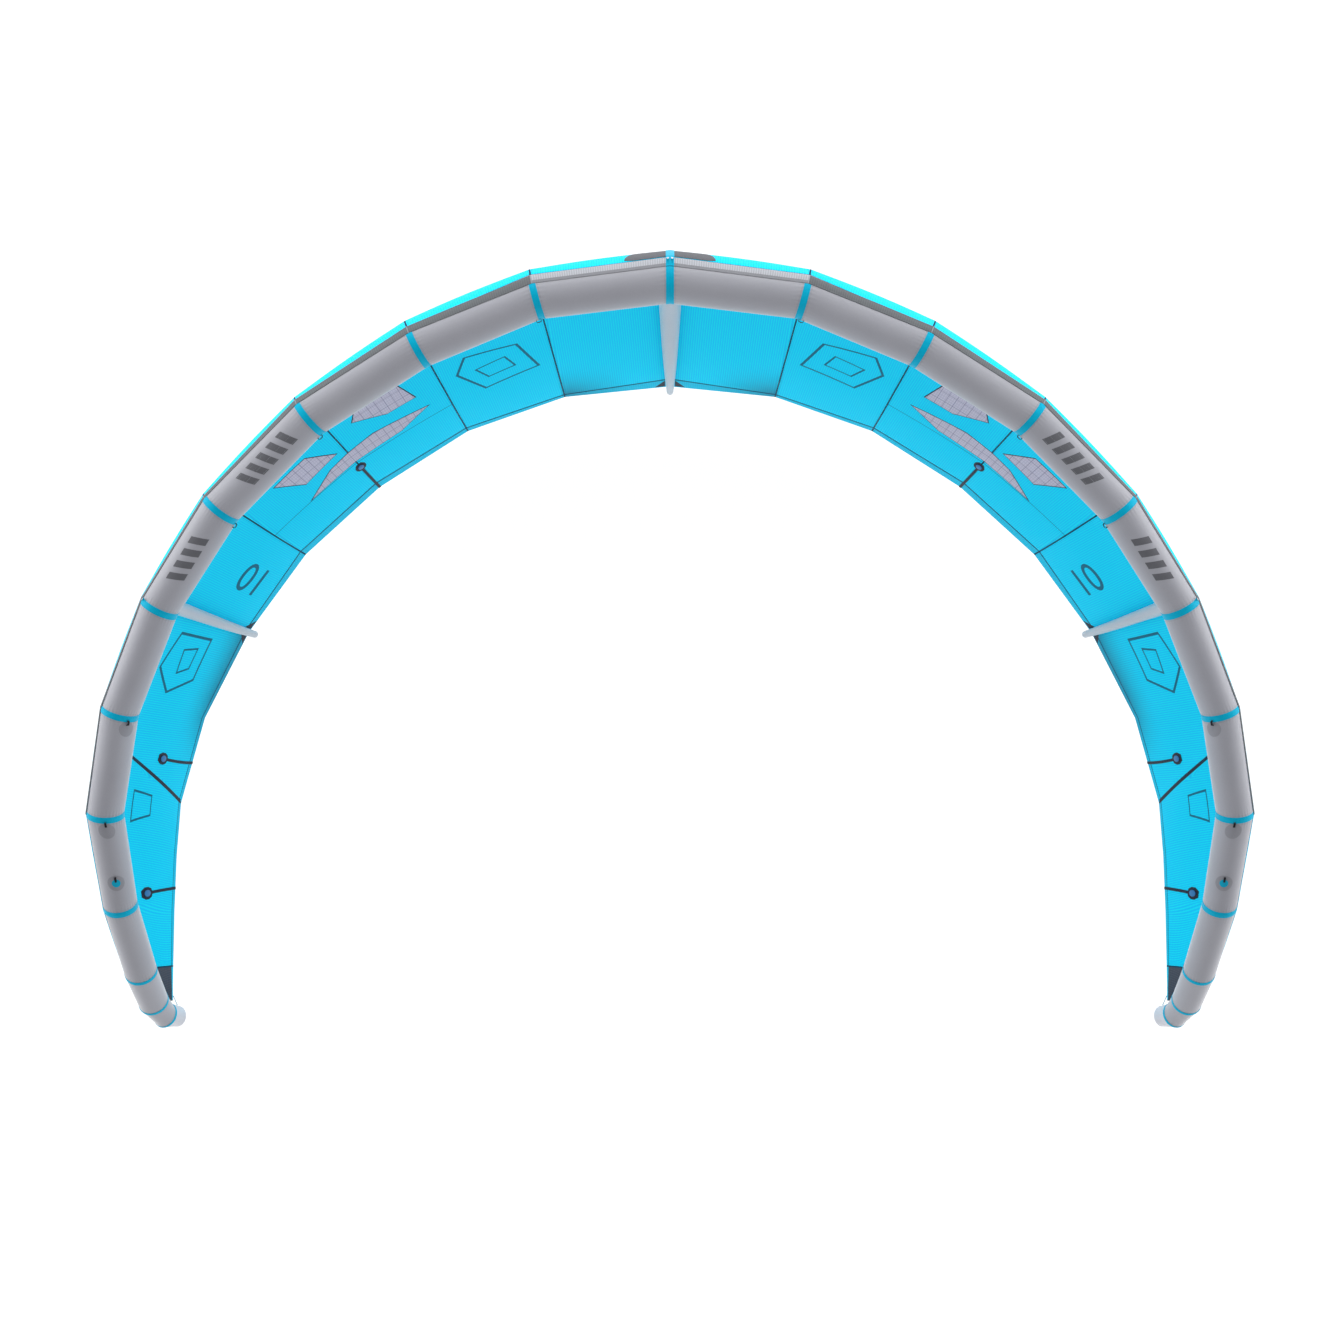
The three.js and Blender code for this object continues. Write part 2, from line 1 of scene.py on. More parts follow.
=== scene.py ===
# %% [markdown]
# # An inflated kitesurfing kite
# This notebook dresses the plain solids of a kite in cloth. The kite stands on three strut ends and
# two wing tips, with its leading tube arched over at the top. All that is seen is sewn from a few
# kinds of cloth, so most pieces are sheets and sleeves that take their places from one pattern.

import math

import bpy
import numpy as np
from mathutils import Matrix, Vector


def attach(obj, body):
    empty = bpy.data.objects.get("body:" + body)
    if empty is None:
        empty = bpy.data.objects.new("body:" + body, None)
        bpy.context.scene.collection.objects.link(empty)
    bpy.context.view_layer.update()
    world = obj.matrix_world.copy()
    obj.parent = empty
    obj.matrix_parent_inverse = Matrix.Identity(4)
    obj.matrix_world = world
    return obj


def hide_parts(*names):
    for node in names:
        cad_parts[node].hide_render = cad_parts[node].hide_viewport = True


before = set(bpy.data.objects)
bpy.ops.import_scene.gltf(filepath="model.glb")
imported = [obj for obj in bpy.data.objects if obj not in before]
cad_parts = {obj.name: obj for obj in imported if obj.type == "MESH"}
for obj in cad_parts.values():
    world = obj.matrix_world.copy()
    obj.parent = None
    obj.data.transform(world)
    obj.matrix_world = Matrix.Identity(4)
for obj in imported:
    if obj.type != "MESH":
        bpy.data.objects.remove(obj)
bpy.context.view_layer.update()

# %% [markdown]
# ## The pattern of the kite
# A sailmaker's pattern names a few places and sizes, and the rest follows. Lengths are millimetres,
# laid out in the flying attitude: x across the span, y aft, z up. A row of the first table is a seam
# of the leading tube, and a row of the second is a rib of the canopy.

# %% Tables of the pattern
SEAMS = np.array([
    # x, y, z and radius
    (0, 0, 1272, 78),
    (436, 10, 1219, 76),
    (825, 37, 1059, 74),
    (1184, 84, 833, 71),
    (1486, 149, 534, 68),
    (1702, 228, 210, 65),
    (1852, 324, -140, 64),
    (1922, 434, -487, 63),
    (1899, 590, -813, 59),
    (1866, 803, -1064, 57),
    (1846, 944, -1185, 54),
    (1818, 1026, -1243, 46),
    (1783, 1078, -1253, 38),
], float)
LAST_SEAM = len(SEAMS) - 1
TIP_FROM = 9
CAP_DEPTH = 22
RIBS = np.array([
    # seam, angle where the cloth leaves the tube, and the tail's x and z
    (0, 74.5, 0, 1095),
    (1, 75, 405, 1053),
    (2, 72.5, 776, 918),
    (3, 76, 1108, 699),
    (4, 76, 1381, 438),
    (5, 77.5, 1583, 143),
    (6, 79, 1733, -179),
    (6.06, 80, 1806, -491),
    (7, 81.5, 1812, -680),
    (8, 86, 1810, -877),
    (9, 107, 1804, -1075),
    (10, 130, 1802, -1142),
    (10.55, 150, 1799, -1196),
], float)
LAST_RIB = len(RIBS) - 1
STAND_ANGLE = math.radians(17.5)
TAIL_DEPTH = 1455
TAIL_CLEARANCE = 42
MIDDLE = 333.927
MM = 0.001
print("tube sections a side:", LAST_SEAM, "ribs a side:", LAST_RIB)

# %% [markdown]
# ## From the flying attitude to the standing one
# The kite is turned about the span until its trailing edge is level, and set on the floor. One
# function does that for any list of points, so every piece can be drawn as it flies.


# %% Stand a list of points up
def stand(points):
    """Flying millimetres to standing metres."""
    x, y, z = np.moveaxis(points, -1, 0)
    forward = y * math.sin(STAND_ANGLE) + z * math.cos(STAND_ANGLE) - MIDDLE
    height = (TAIL_DEPTH - y) * math.cos(STAND_ANGLE) + TAIL_CLEARANCE + z * math.sin(STAND_ANGLE)
    return np.stack([x, forward, height], -1) * MM


def unit(vectors):
    return vectors / np.linalg.norm(vectors, axis=-1, keepdims=True)


def dot(a, b):
    return (a * b).sum(-1, keepdims=True)


print("crown stands at", stand(SEAMS[0, :3]))

# %% [markdown]
# ## The leading tube's surface
# Each seam of the tube is a mitre: two straight sections meet in the plane that halves their angle.
# A frame of three directions at each seam places a circle in that plane. A point of the tube is then
# found from its place along the tube, counted in seams, and its angle round it.


# %% Frames at the seams, and points of the tube
def seam_frames():
    here = SEAMS[:, :3]
    runs = unit(np.diff(here, axis=0))
    before = np.vstack([runs[:1] * (1, -1, -1), runs])
    after = np.vstack([runs, runs[-1:]])
    along = unit(before + after)
    ahead = np.tile((0.0, -1.0, 0.0), (len(here), 1))
    ahead = unit(ahead - dot(ahead, along) * along)
    return here, along, ahead, np.cross(ahead, along)


HERE, ALONG, AHEAD, OUT = seam_frames()


def tube_point(seam, angle, lift=0.0):
    seam, angle, lift = np.broadcast_arrays(*map(np.asarray, (seam, angle, lift)))
    near = np.clip(np.floor(seam), 0, LAST_SEAM - 1).astype(int)
    turn = np.radians(angle)[..., None]

    def on_ring(index):
        reach = (SEAMS[index, 3] + lift)[..., None]
        return HERE[index] + reach * (np.cos(turn) * AHEAD[index] + np.sin(turn) * OUT[index])

    share = (seam - near)[..., None]
    return on_ring(near) * (1 - share) + on_ring(near + 1) * share


print("tube is", round(2 * SEAMS[0, 3]), "mm thick at the crown,", round(2 * SEAMS[-1, 3]), "at the tip")

# %% [markdown]
# ## The canopy's surface
# The cloth lies on the tube for a few degrees, leaves it almost as a tangent, and its camber dies
# out towards the trailing edge. A place on it is given by a span, counted in ribs, and a column: 0 to
# 2 is the cloth on the tube, and 2 to 14 runs from there to the trailing edge.

# %% Rules of the canopy
COVER_FROM, COVER_TO = 27, 57
WRAP = 12
LEAVE, TAIL = 2, 14
GAP, TWIST_GAP, TWIST_FROM = 0.3, 0.8, 6
LIFT_OFF, CROWD, FULLNESS, BILLOW = 0.05, 1.35, 2.7, 7


def bare_cloth(span, column):
    """The canopy's underside before it swells between the ribs."""
    side, span = np.where(span < 0, -1.0, 1.0), np.clip(np.abs(span), 0, LAST_RIB)
    seam, leave, tail_x, tail_z = (np.interp(span, range(len(RIBS)), part) for part in RIBS.T)
    lift = np.where(seam > TWIST_FROM, TWIST_GAP, GAP)
    start = np.maximum(COVER_TO + 0.5, leave - WRAP)
    wrap = np.clip(column / LEAVE, 0, 1)
    on_tube = tube_point(seam, start + (leave - start) * wrap, lift)
    head = tube_point(seam, leave, lift)
    tail = np.stack([tail_x, TAIL_DEPTH + tail_z * math.tan(STAND_ANGLE), tail_z], -1)
    chord = np.linalg.norm(tail - head, axis=-1, keepdims=True)
    aft = (tail - head) / chord
    axis = (tube_point(seam, 0) + tube_point(seam, 180)) / 2
    out = tube_point(seam, 90) - axis
    out = unit(out - dot(out, aft) * aft)
    normal = unit(head - axis)
    slope = LIFT_OFF - dot(aft, normal) / dot(out, normal)
    part = (np.clip((column - LEAVE) / (TAIL - LEAVE), 0, 1) ** CROWD)[..., None]
    rise = slope * chord * part * (1 - part) ** FULLNESS
    free = head + aft * part * chord + out * rise
    point = np.where((column <= LEAVE)[..., None], on_tube, free)
    point[..., 0] *= side
    return point


def outward(surface, span, column, step=0.03):
    row, place = np.minimum(span, LAST_RIB - step), np.clip(column, step, TAIL - step)
    aft = surface(span, place + step) - surface(span, place - step)
    across = surface(row + step, column) - surface(row - step, column)
    return unit(np.cross(across, aft))


def swollen_cloth(span, column):
    rib = np.clip(np.floor(np.abs(span)), 0, LAST_RIB - 1)
    between = np.sin(np.pi * np.clip(np.abs(span) - rib, 0, 1))
    edge = np.full_like(rib, float(LEAVE))
    width = np.linalg.norm(bare_cloth(rib + 1, edge) - bare_cloth(rib, edge), axis=-1)
    along = np.clip((column - LEAVE) / (TAIL - LEAVE), 0, 1)
    share = np.sin(np.pi * np.minimum(1, along * 1.05)) ** 0.7
    height = BILLOW * np.minimum(1, width / 400) * between * np.nan_to_num(share)
    return bare_cloth(span, column) + outward(bare_cloth, span, column) * height[..., None]


def cloth(span, column, lift=0.0):
    """A point lifted off the canopy's underside, in flying millimetres."""
    span, column = (np.asarray(value, float) for value in np.broadcast_arrays(span, column))
    lift = np.broadcast_to(lift, span.shape)[..., None]
    return swollen_cloth(span, column) + outward(swollen_cloth, span, column) * lift


print("trailing edge at the middle:", stand(cloth(0.0, 14.0)))

# %% [markdown]
# ## The camera, the floor and the light
# The camera stands where the kite is seen from straight ahead of its tube, far off and with a long
# lens. The floor is plain and pale. The sky is brighter near the ground than overhead, so round forms
# get light edges, and dimmer ahead of the kite than behind it. Three wide lamps stand behind and on
# both sides.

# %% Camera, floor, lamps and sky
CAMERA_PLACE = (0, -3.2508, 10.6807)
bpy.ops.object.select_all(action="DESELECT")
bpy.ops.object.camera_add(location=CAMERA_PLACE, rotation=(STAND_ANGLE, 0, 0))
camera = bpy.context.object
camera.name = "camera"
camera.data.lens = 80
camera.data.sensor_width = 36
camera.data.clip_end = 200
bpy.context.scene.camera = camera
bpy.context.scene.view_settings.view_transform = "Standard"

bpy.ops.object.select_all(action="DESELECT")
bpy.ops.mesh.primitive_plane_add(size=120)
floor = bpy.context.object
floor.name = "floor"

LAMPS = [
    # name, place, where it points, size in metres, watts
    ("back_lamp", (0, 5.5, 7.5), (0, 0.2, 1.5), 6, 430),
    ("left_lamp", (-8.5, 1.5, 2.6), (0, 0.2, 0.8), 6, 330),
    ("right_lamp", (8.5, 1.5, 2.6), (0, 0.2, 0.8), 6, 330),
]
for name, place, target, size, power in LAMPS:
    aim = (Vector(target) - Vector(place)).to_track_quat("-Z", "Y")
    bpy.ops.object.light_add(type="AREA", location=place, rotation=aim.to_euler())
    lamp = bpy.context.object
    lamp.name = name
    lamp.data.size = size
    lamp.data.energy = power
print("camera at", CAMERA_PLACE, "and", len(LAMPS), "lamps")

# %% [markdown]
# ## Helpers
# Every piece starts as one of two primitives: a flat grid for a sheet of cloth, and a sleeve for
# what is inflated. Both have sides of length 1, and a rule then carries each corner to its place on
# the pattern. A last step makes the other wing's piece, says which solids the pieces stand for, and
# prints what was made.


# %% Helpers that start, carry and finish a piece
def only(piece):
    bpy.ops.object.select_all(action="DESELECT")
    piece.select_set(True)
    bpy.context.view_layer.objects.active = piece


def corners_of(piece):
    places = np.empty(3 * len(piece.data.vertices))
    piece.data.vertices.foreach_get("co", places)
    return places.reshape(-1, 3)


def carry(piece, rule):
    """Move each corner to where a rule of its x, y and z puts it."""
    places = rule(*corners_of(piece).T)
    piece.data.vertices.foreach_set("co", np.ascontiguousarray(places, float).ravel())
    piece.data.update()


def flat_cloth(name, across, along):
    """A flat grid whose corners run from 0 to 1 both ways."""
    bpy.ops.object.select_all(action="DESELECT")
    bpy.ops.mesh.primitive_grid_add(x_subdivisions=across, y_subdivisions=along, size=1)
    piece = bpy.context.object
    piece.name = name
    piece.data.uv_layers[0].name = "cloth"
    carry(piece, lambda x, y, z: np.stack([x + 0.5, y + 0.5, z], -1))
    return piece


def sleeve(name, sides, rings):
    """A closed sleeve of radius 1, with rings from z = 0 to 1."""
    bpy.ops.object.select_all(action="DESELECT")
    bpy.ops.mesh.primitive_cylinder_add(vertices=sides, radius=1, depth=1, end_fill_type="NGON")
    piece = bpy.context.object
    piece.name = name
    piece.data.uv_layers[0].name = "cloth"
    bpy.ops.object.mode_set(mode="EDIT")
    bpy.ops.mesh.select_mode(type="EDGE")
    bpy.ops.mesh.select_all(action="DESELECT")
    bpy.ops.object.mode_set(mode="OBJECT")
    heights = corners_of(piece)[:, 2]
    for edge in piece.data.edges:
        edge.select = bool(abs(heights[edge.vertices[0]] - heights[edge.vertices[1]]) > 0.5)
    bpy.ops.object.mode_set(mode="EDIT")
    bpy.ops.mesh.subdivide(number_cuts=rings - 2)
    bpy.ops.object.mode_set(mode="OBJECT")
    carry(piece, lambda x, y, z: np.stack([x, y, z + 0.5], -1))
    return piece


def lay_out(piece, name, u, v, girth=None):
    """Give the cloth its flat places. With a girth, u counts turns round a sleeve."""
    mesh = piece.data
    corner = np.empty(len(mesh.loops), np.int32)
    mesh.loops.foreach_get("vertex_index", corner)
    flat = np.stack(np.broadcast_arrays(u, v), -1)[corner].astype(float)
    if girth is not None:
        sizes = np.empty(len(mesh.polygons), np.int32)
        mesh.polygons.foreach_get("loop_total", sizes)
        starts = np.cumsum(sizes) - sizes
        first = np.repeat(flat[starts, 0], sizes)
        flat[:, 0] -= np.round(flat[:, 0] - first)
        flat[:, 0] *= np.broadcast_to(girth, u.shape)[corner]
    layer = mesh.uv_layers.get(name) or mesh.uv_layers.new(name=name)
    layer.uv.foreach_set("vector", flat.ravel())


def thicken(piece, thickness):
    """Give a sheet its thickness, outwards, in millimetres."""
    only(piece)
    wall = piece.modifiers.new("wall", "SOLIDIFY")
    wall.thickness = thickness * MM
    wall.offset = 1
    wall.use_even_offset = True
    bpy.ops.object.modifier_apply(modifier=wall.name)


def smooth(piece, angle=35):
    only(piece)
    bpy.ops.object.shade_smooth_by_angle(angle=math.radians(angle))


def edit_all(piece, step, **settings):
    """Run one step of edit mode on the whole of a piece."""
    only(piece)
    bpy.ops.object.mode_set(mode="EDIT")
    bpy.ops.mesh.select_all(action="SELECT")
    step(**settings)
    bpy.ops.object.mode_set(mode="OBJECT")


def turn_over(piece):
    """Make the faces point the other way."""
    edit_all(piece, bpy.ops.mesh.flip_normals)


def face_out(piece):
    """Make the faces of a closed piece point outwards."""
    edit_all(piece, bpy.ops.mesh.normals_make_consistent, inside=False)


def set_down(piece):
    """Lay on the floor whatever would sink into it."""
    corners = corners_of(piece)
    corners[:, 2] = np.maximum(corners[:, 2], 0)
    piece.data.vertices.foreach_set("co", corners.ravel())


def area_of(piece):
    return sum(face.area for face in piece.data.polygons)


def other_side(piece):
    """A copy for the left wing, with its own mesh."""
    only(piece)
    bpy.ops.object.duplicate()
    twin = bpy.context.object
    twin.name = piece.name.replace("right", "left")
    bpy.ops.object.mode_set(mode="EDIT")
    bpy.ops.mesh.select_all(action="SELECT")
    bpy.ops.transform.resize(value=(-1, 1, 1), center_override=(0, 0, 0))
    bpy.ops.mesh.flip_normals()
    bpy.ops.object.mode_set(mode="OBJECT")
    return twin


def fit_out(piece, slot, *nodes):
    """Let a piece ride and stand for its solids. The slot is not used."""
    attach(piece, "root")
    if nodes:
        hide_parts(*nodes)
    return piece


def fit_pair(piece, slot, *nodes):
    """Fit a right piece out, and make the left one."""
    twin = other_side(piece)
    fit_out(piece, slot, *nodes)
    fit_out(twin, slot, *[node.replace("right", "left") for node in nodes])
    return [piece, twin]


def tell(title, made):
    faces = sum(len(polygon.vertices) - 2 for piece in made for polygon in piece.data.polygons)
    print(f"{title}: {len(made)} pieces, {faces} triangles")


def gap_length(seam, angle):
    """Millimetres from a seam to the next one, at an angle."""
    near = np.clip(np.floor(seam), 0, LAST_SEAM - 1)
    return np.linalg.norm(tube_point(near + 1, angle) - tube_point(near, angle), axis=-1)


print("helpers are ready")

# %% [markdown]
# ## The sections of the leading tube
# The real tube is a row of polyester sleeves, cut with curved ends and sewn end to end, with an
# inflated bladder inside. A bent pipe would be quicker, but it has no mitres, and those give the kite
# its cornered outline. So each section is a sleeve of its own, from seam to seam.

# %% Nine sections a side
SIDES, RINGS = 96, 14
PIECE_GAP = 0.3


def tube_places(first, last):
    """The rule that carries a sleeve between two seams of the tube."""
    def rule(x, y, z):
        angle = np.degrees(np.arctan2(y, x))
        inset = PIECE_GAP / 2 / gap_length(np.full_like(z, first), angle)
        seam = np.clip(last + (first - last) * z, first + inset, last - inset)
        return stand(tube_point(seam, angle))
    return rule


def lay_out_sleeve(piece, first, last):
    """Flat places of a sleeve: round it and along it, and how far the nearest seam is."""
    x, y, z = corners_of(piece).T
    angle = np.degrees(np.arctan2(y, x))
    seam = last + (first - last) * z
    girth = 2 * math.pi * np.interp(seam, range(len(SEAMS)), SEAMS[:, 3]) * MM
    near = np.clip(np.floor(seam), 0, LAST_SEAM - 1)
    length = gap_length(near, angle) * MM
    share = seam - near
    lay_out(piece, "cloth", angle / 360, share * length, girth)
    lay_out(piece, "edges", np.minimum(share, 1 - share) * length, angle / 360)


tube = []
for section in range(1, TIP_FROM + 1):
    piece = sleeve(f"tube_sleeve_right_{section}", SIDES, RINGS)
    lay_out_sleeve(piece, section - 1, section)
    carry(piece, tube_places(section - 1, section))
    smooth(piece)
    tube += fit_pair(piece, "tube", f"tube_panel_right_{section}")
tell("tube sections", tube)
print("length of the first section at its outer side:", gap_length(np.array(0.0), 90.0).round(1), "mm")

# %% [markdown]
# ## The tube's tip
# The last three sections are short and end in a sewn dome, which stands flat on the floor. They are
# one sleeve here: its last rings are drawn in along a quarter of an ellipse, and whatever would sink
# into the floor is laid on it.

# %% One tip a side
TIP_RINGS, DOME_FROM, DOME_END = 40, 0.75, 0.96
TIP_LENGTH, TIP_RADIUS, FAR_FROM_SEAM = 0.36, 45, 0.1


def tip_places(x, y, z):
    angle = np.degrees(np.arctan2(y, x))
    on_tube = np.clip((1 - z) / DOME_FROM, 0, 1)
    seam = TIP_FROM + 0.001 + (LAST_SEAM - TIP_FROM - 0.001) * on_tube
    dome = np.clip((1 - z - DOME_FROM) / (1 - DOME_FROM), 0, 1) * DOME_END
    lean = np.arcsin(dome)[..., None]
    ring = tube_point(seam, angle)
    centre = HERE[LAST_SEAM]
    end = centre + (ring - centre) * np.cos(lean) + ALONG[LAST_SEAM] * CAP_DEPTH * np.sin(lean)
    places = stand(np.where(dome[..., None] > 0, end, ring))
    places[..., 2] = np.maximum(places[..., 2], 0)
    return places


piece = sleeve("tube_end_right", SIDES, TIP_RINGS + 1)
x, y, z = corners_of(piece).T
turn = np.arctan2(y, x) / (2 * math.pi)
lay_out(piece, "cloth", turn, (1 - z) * TIP_LENGTH, 2 * math.pi * TIP_RADIUS * MM)
lay_out(piece, "edges", np.full_like(z, FAR_FROM_SEAM), turn)
carry(piece, tip_places)
smooth(piece, 50)
tube_ends = fit_pair(piece, "tube", "tube_tip_right")
tell("tube ends", tube_ends)

# %% [markdown]
# ## The tape over the tube's seams
# Each seam is covered by a band of cyan tape, folded over the mitre. A band is a narrow grid that
# runs round the tube and keeps its width on both sections. Where the cover strip and the canopy lie
# on the tube, the tape ends at their edges.

# %% Bands over the seams
TAPE_THICKNESS, TAPE_LIFT = 0.9, 0.15
SEAM_TAPES = [
    # seam, width, and the angles where it starts and ends
    (1, 23, -278, 26.4),
    (2, 23, -281, 35.4),
    (3, 23, -277, 45.4),
    (4, 23, -277, 56.4),
    (5, 23, -276, 62.4),
    (6, 22, -275, 64.4),
    (7, 22, -271, 67.4),
    (8, 22, -267, 72.5),
    (9, 14, -243, 93.5),
    (10, 13, -221, 116.5),
]


def across_seam(seam, angle, offset):
    """A place beside a seam, in seams, from an offset in millimetres."""
    before = gap_length(np.full_like(angle, max(seam - 0.5, 0)), angle)
    after = gap_length(np.full_like(angle, min(seam + 0.5, LAST_SEAM - 0.5)), angle)
    return seam + offset / np.where(offset < 0, before, after)


def tape_places(seam, width, start, end):
    def rule(x, y, z):
        angle = end + (start - end) * x
        place = across_seam(seam, angle, (y - 0.5) * width)
        points = tube_point(np.abs(place), angle, TAPE_LIFT)
        points[..., 0] *= np.where(place < 0, -1, 1)
        return stand(points)
    return rule


def lay_out_tape(piece, radius, width, turn):
    x, y, z = corners_of(piece).T
    lay_out(piece, "cloth", x * radius * math.radians(turn) * MM, y * width * MM)


tapes = []
for seam, width, start, end in SEAM_TAPES:
    piece = flat_cloth(f"seam_tape_right_{seam}", 120, 4)
    lay_out_tape(piece, SEAMS[seam, 3], width, end - start)
    carry(piece, tape_places(seam, width, start, end))
    thicken(piece, TAPE_THICKNESS)
    smooth(piece)
    tapes += fit_pair(piece, "webbing")
tell("bands over the seams", tapes)

# %% [markdown]
# ## The first and the last tape
# The band at the middle is one piece for both wings. The last seam's tape goes all round the tube, so
# it starts as a sleeve without its ends, and is laid on the floor with the tip.

# %% The band at the middle, and the tape round the end
CENTER_TAPE = (0, 26, -270, 26.4)
piece = flat_cloth("seam_tape_middle", 120, 4)
lay_out_tape(piece, SEAMS[0, 3], CENTER_TAPE[1], 296)
carry(piece, tape_places(*CENTER_TAPE))
thicken(piece, TAPE_THICKNESS)
smooth(piece)
tapes.append(fit_out(piece, "webbing"))

END_SEAM, END_WIDTH, END_GIRTH = 11, 12, 0.29
piece = sleeve(f"seam_tape_right_{END_SEAM}", 96, 5)
bpy.ops.object.mode_set(mode="EDIT")
bpy.ops.mesh.select_mode(type="FACE")
bpy.ops.mesh.select_all(action="DESELECT")
bpy.ops.object.mode_set(mode="OBJECT")
for face in piece.data.polygons:
    face.select = abs(face.normal.z) > 0.5
bpy.ops.object.mode_set(mode="EDIT")
bpy.ops.mesh.delete(type="FACE")
bpy.ops.object.mode_set(mode="OBJECT")
x, y, z = corners_of(piece).T
lay_out(piece, "cloth", np.arctan2(y, x) / (2 * math.pi), z * END_WIDTH * MM, END_GIRTH)


def end_tape_places(x, y, z):
    angle = np.degrees(np.arctan2(y, x))
    place = across_seam(END_SEAM, angle, (0.5 - z) * END_WIDTH)
    return stand(tube_point(place, angle, TAPE_LIFT))


carry(piece, end_tape_places)
thicken(piece, TAPE_THICKNESS)
set_down(piece)
smooth(piece)
tapes += fit_pair(piece, "webbing")
tell("all tapes", tapes)

# %% [markdown]
# ## The cover strip
# A strip of ribbed cloth covers the join of tube and canopy as far as the seventh seam. It is one
# grid a side, with a row of corners on each seam, so that it bends where the tube bends. Towards the
# tips the join turns to the back of the tube, so the strip's edges are given seam by seam.

# %% One strip a side
STRIP_GAP, STRIP_THICKNESS, STRIP_TO = 0.3, 1.5, 7
STRIP_CELLS = 8
STRIP_EDGES = [
    # the angles of its front and its back edge at each seam
    (27, 57), (27, 57), (36, 64), (46, 72), (57, 74.5), (63, 76), (65, 77.5), (68, 80),
]
OVER_CLOTH = 1.5


def strip_angles(x, y):
    front, back = (
        np.interp(x * STRIP_TO, range(STRIP_TO + 1), edge) for edge in np.transpose(STRIP_EDGES))
    return front + (back - front) * y


def strip_places(x, y, z):
    """On the tube, and a cloth higher where the canopy lies below it."""
    angle = strip_angles(x, y)
    seam = np.where(x * STRIP_TO < 0.001, 0.0006, x * STRIP_TO)
    leave = np.interp(seam, RIBS[:, 0], RIBS[:, 1])
    start = np.maximum(COVER_TO + 0.5, leave - WRAP)
    raised = np.clip((angle - start + 3.0) / 2.5, 0, 1)
    return stand(tube_point(seam, angle, STRIP_GAP + raised * (OVER_CLOTH + 0.5 * (seam > 5))))


piece = flat_cloth("strip_cloth_right", STRIP_TO * STRIP_CELLS, 8)
x, y, z = corners_of(piece).T
run = np.concatenate([[0], np.cumsum(np.linalg.norm(np.diff(SEAMS[:, :3], axis=0), axis=1))])
radii = np.interp(x * STRIP_TO, range(len(SEAMS)), SEAMS[:, 3])
height = math.radians(COVER_TO - COVER_FROM) * radii * MM
lay_out(piece, "cloth", np.interp(x * STRIP_TO, range(len(run)), run) * MM, y * height)
lay_out(piece, "place", x * STRIP_TO, y)
carry(piece, strip_places)
thicken(piece, STRIP_THICKNESS)
smooth(piece)
strips = fit_pair(piece, "cover", "cover_strip_right")
tell("cover strips", strips)

# %% [markdown]
# ## The canopy
# The canopy is ripstop polyester, cut in gores that are sewn together at the ribs. Each gore is a
# grid carried onto the curved cloth, closed at its edges by Solidify. A cloth simulation would lose
# the cut, because the air in the kite holds the cloth taut. Three flat layouts go with each gore: its
# place on the cut cloth, its distance from the seam and from the trailing edge, and its place on the
# whole kite.

# %% How far each place is from the trailing edge
PER_RIB, PER_COLUMN = 12, 10
TABLE_SPANS = np.linspace(0, LAST_RIB, PER_RIB * LAST_RIB + 1)
TABLE_COLUMNS = np.linspace(0, TAIL, PER_COLUMN * TAIL + 1)
table = cloth(TABLE_SPANS[:, None], TABLE_COLUMNS[None, :])
steps = np.linalg.norm(np.diff(table, axis=1), axis=-1)
runs_aft = np.cumsum(steps[:, ::-1], axis=1)[:, ::-1]
FROM_TAIL = np.concatenate([runs_aft, np.zeros((len(table), 1))], axis=1)


def tail_distance(span, column):
    """Millimetres of cloth from a place to the trailing edge."""
    row = np.clip(np.abs(span) * PER_RIB, 0, len(TABLE_SPANS) - 1.001)
    place = np.clip(column * PER_COLUMN, 0, len(TABLE_COLUMNS) - 1.001)
    r, c = row.astype(int), place.astype(int)
    a, b = row - r, place - c
    near = FROM_TAIL[r, c] * (1 - b) + FROM_TAIL[r, c + 1] * b
    far = FROM_TAIL[r + 1, c] * (1 - b) + FROM_TAIL[r + 1, c + 1] * b
    return near * (1 - a) + far * a


def column_at(span, distance):
    """The column that is so many millimetres ahead of the trailing edge."""
    low, high = np.zeros_like(distance), np.full_like(distance, float(TAIL))
    for _ in range(24):
        middle = (low + high) / 2
        ahead = tail_distance(span, middle) > distance
        low, high = np.where(ahead, middle, low), np.where(ahead, high, middle)
    return (low + high) / 2


def cloth_width(span, column, half=0.02):
    """Millimetres of cloth to one step of span."""
    a, b = np.clip(np.abs(span) - half, 0, LAST_RIB), np.clip(np.abs(span) + half, 0, LAST_RIB)
    return np.linalg.norm(cloth(b, column) - cloth(a, column), axis=-1) / (b - a)


print("the middle gore is", FROM_TAIL[0, 0].round(), "mm from tube to trailing edge")

# %% [markdown]
# ## The gores themselves
# Each gore stops a hair short of its neighbour, so that no two share a surface. A wider gap would let
# light through the seam. The hem's depth and the width of its line change from rib to rib.

# %% Gores of the canopy
CLOTH_THICKNESS, SEAM_GAP = 1.2, 0.03
GORES = [
    # first and last rib, and grid cells across
    (0, 1, 28),
    (1, 2, 28),
    (2, 3, 26),
    (3, 4, 26),
    (4, 5, 24),
    (5, 7, 36),
    (7, 10, 36),
    (10, 12, 16),
]
ROWS = 98
# How far ahead of the trailing edge the hem is sewn at each rib, in millimetres
HEM = (122, 41, 62, 84, 84, 50, 34, 30, 26, 24, 14, 6, 5)
# Half the width of the hem's dark line at each rib
HEM_LINE = (8, 8, 8, 8, 7, 6, 4, 2.5, 2, 1.8, 1.5, 1, 1)


def gore_spans(first, last, x, column):
    """Spans across a gore, which stops a hair short of its neighbours."""
    inset = SEAM_GAP / 2 / cloth_width(np.full_like(x, (first + last) / 2), column)
    return np.clip(first + (last - first) * x, first + inset, last - inset)


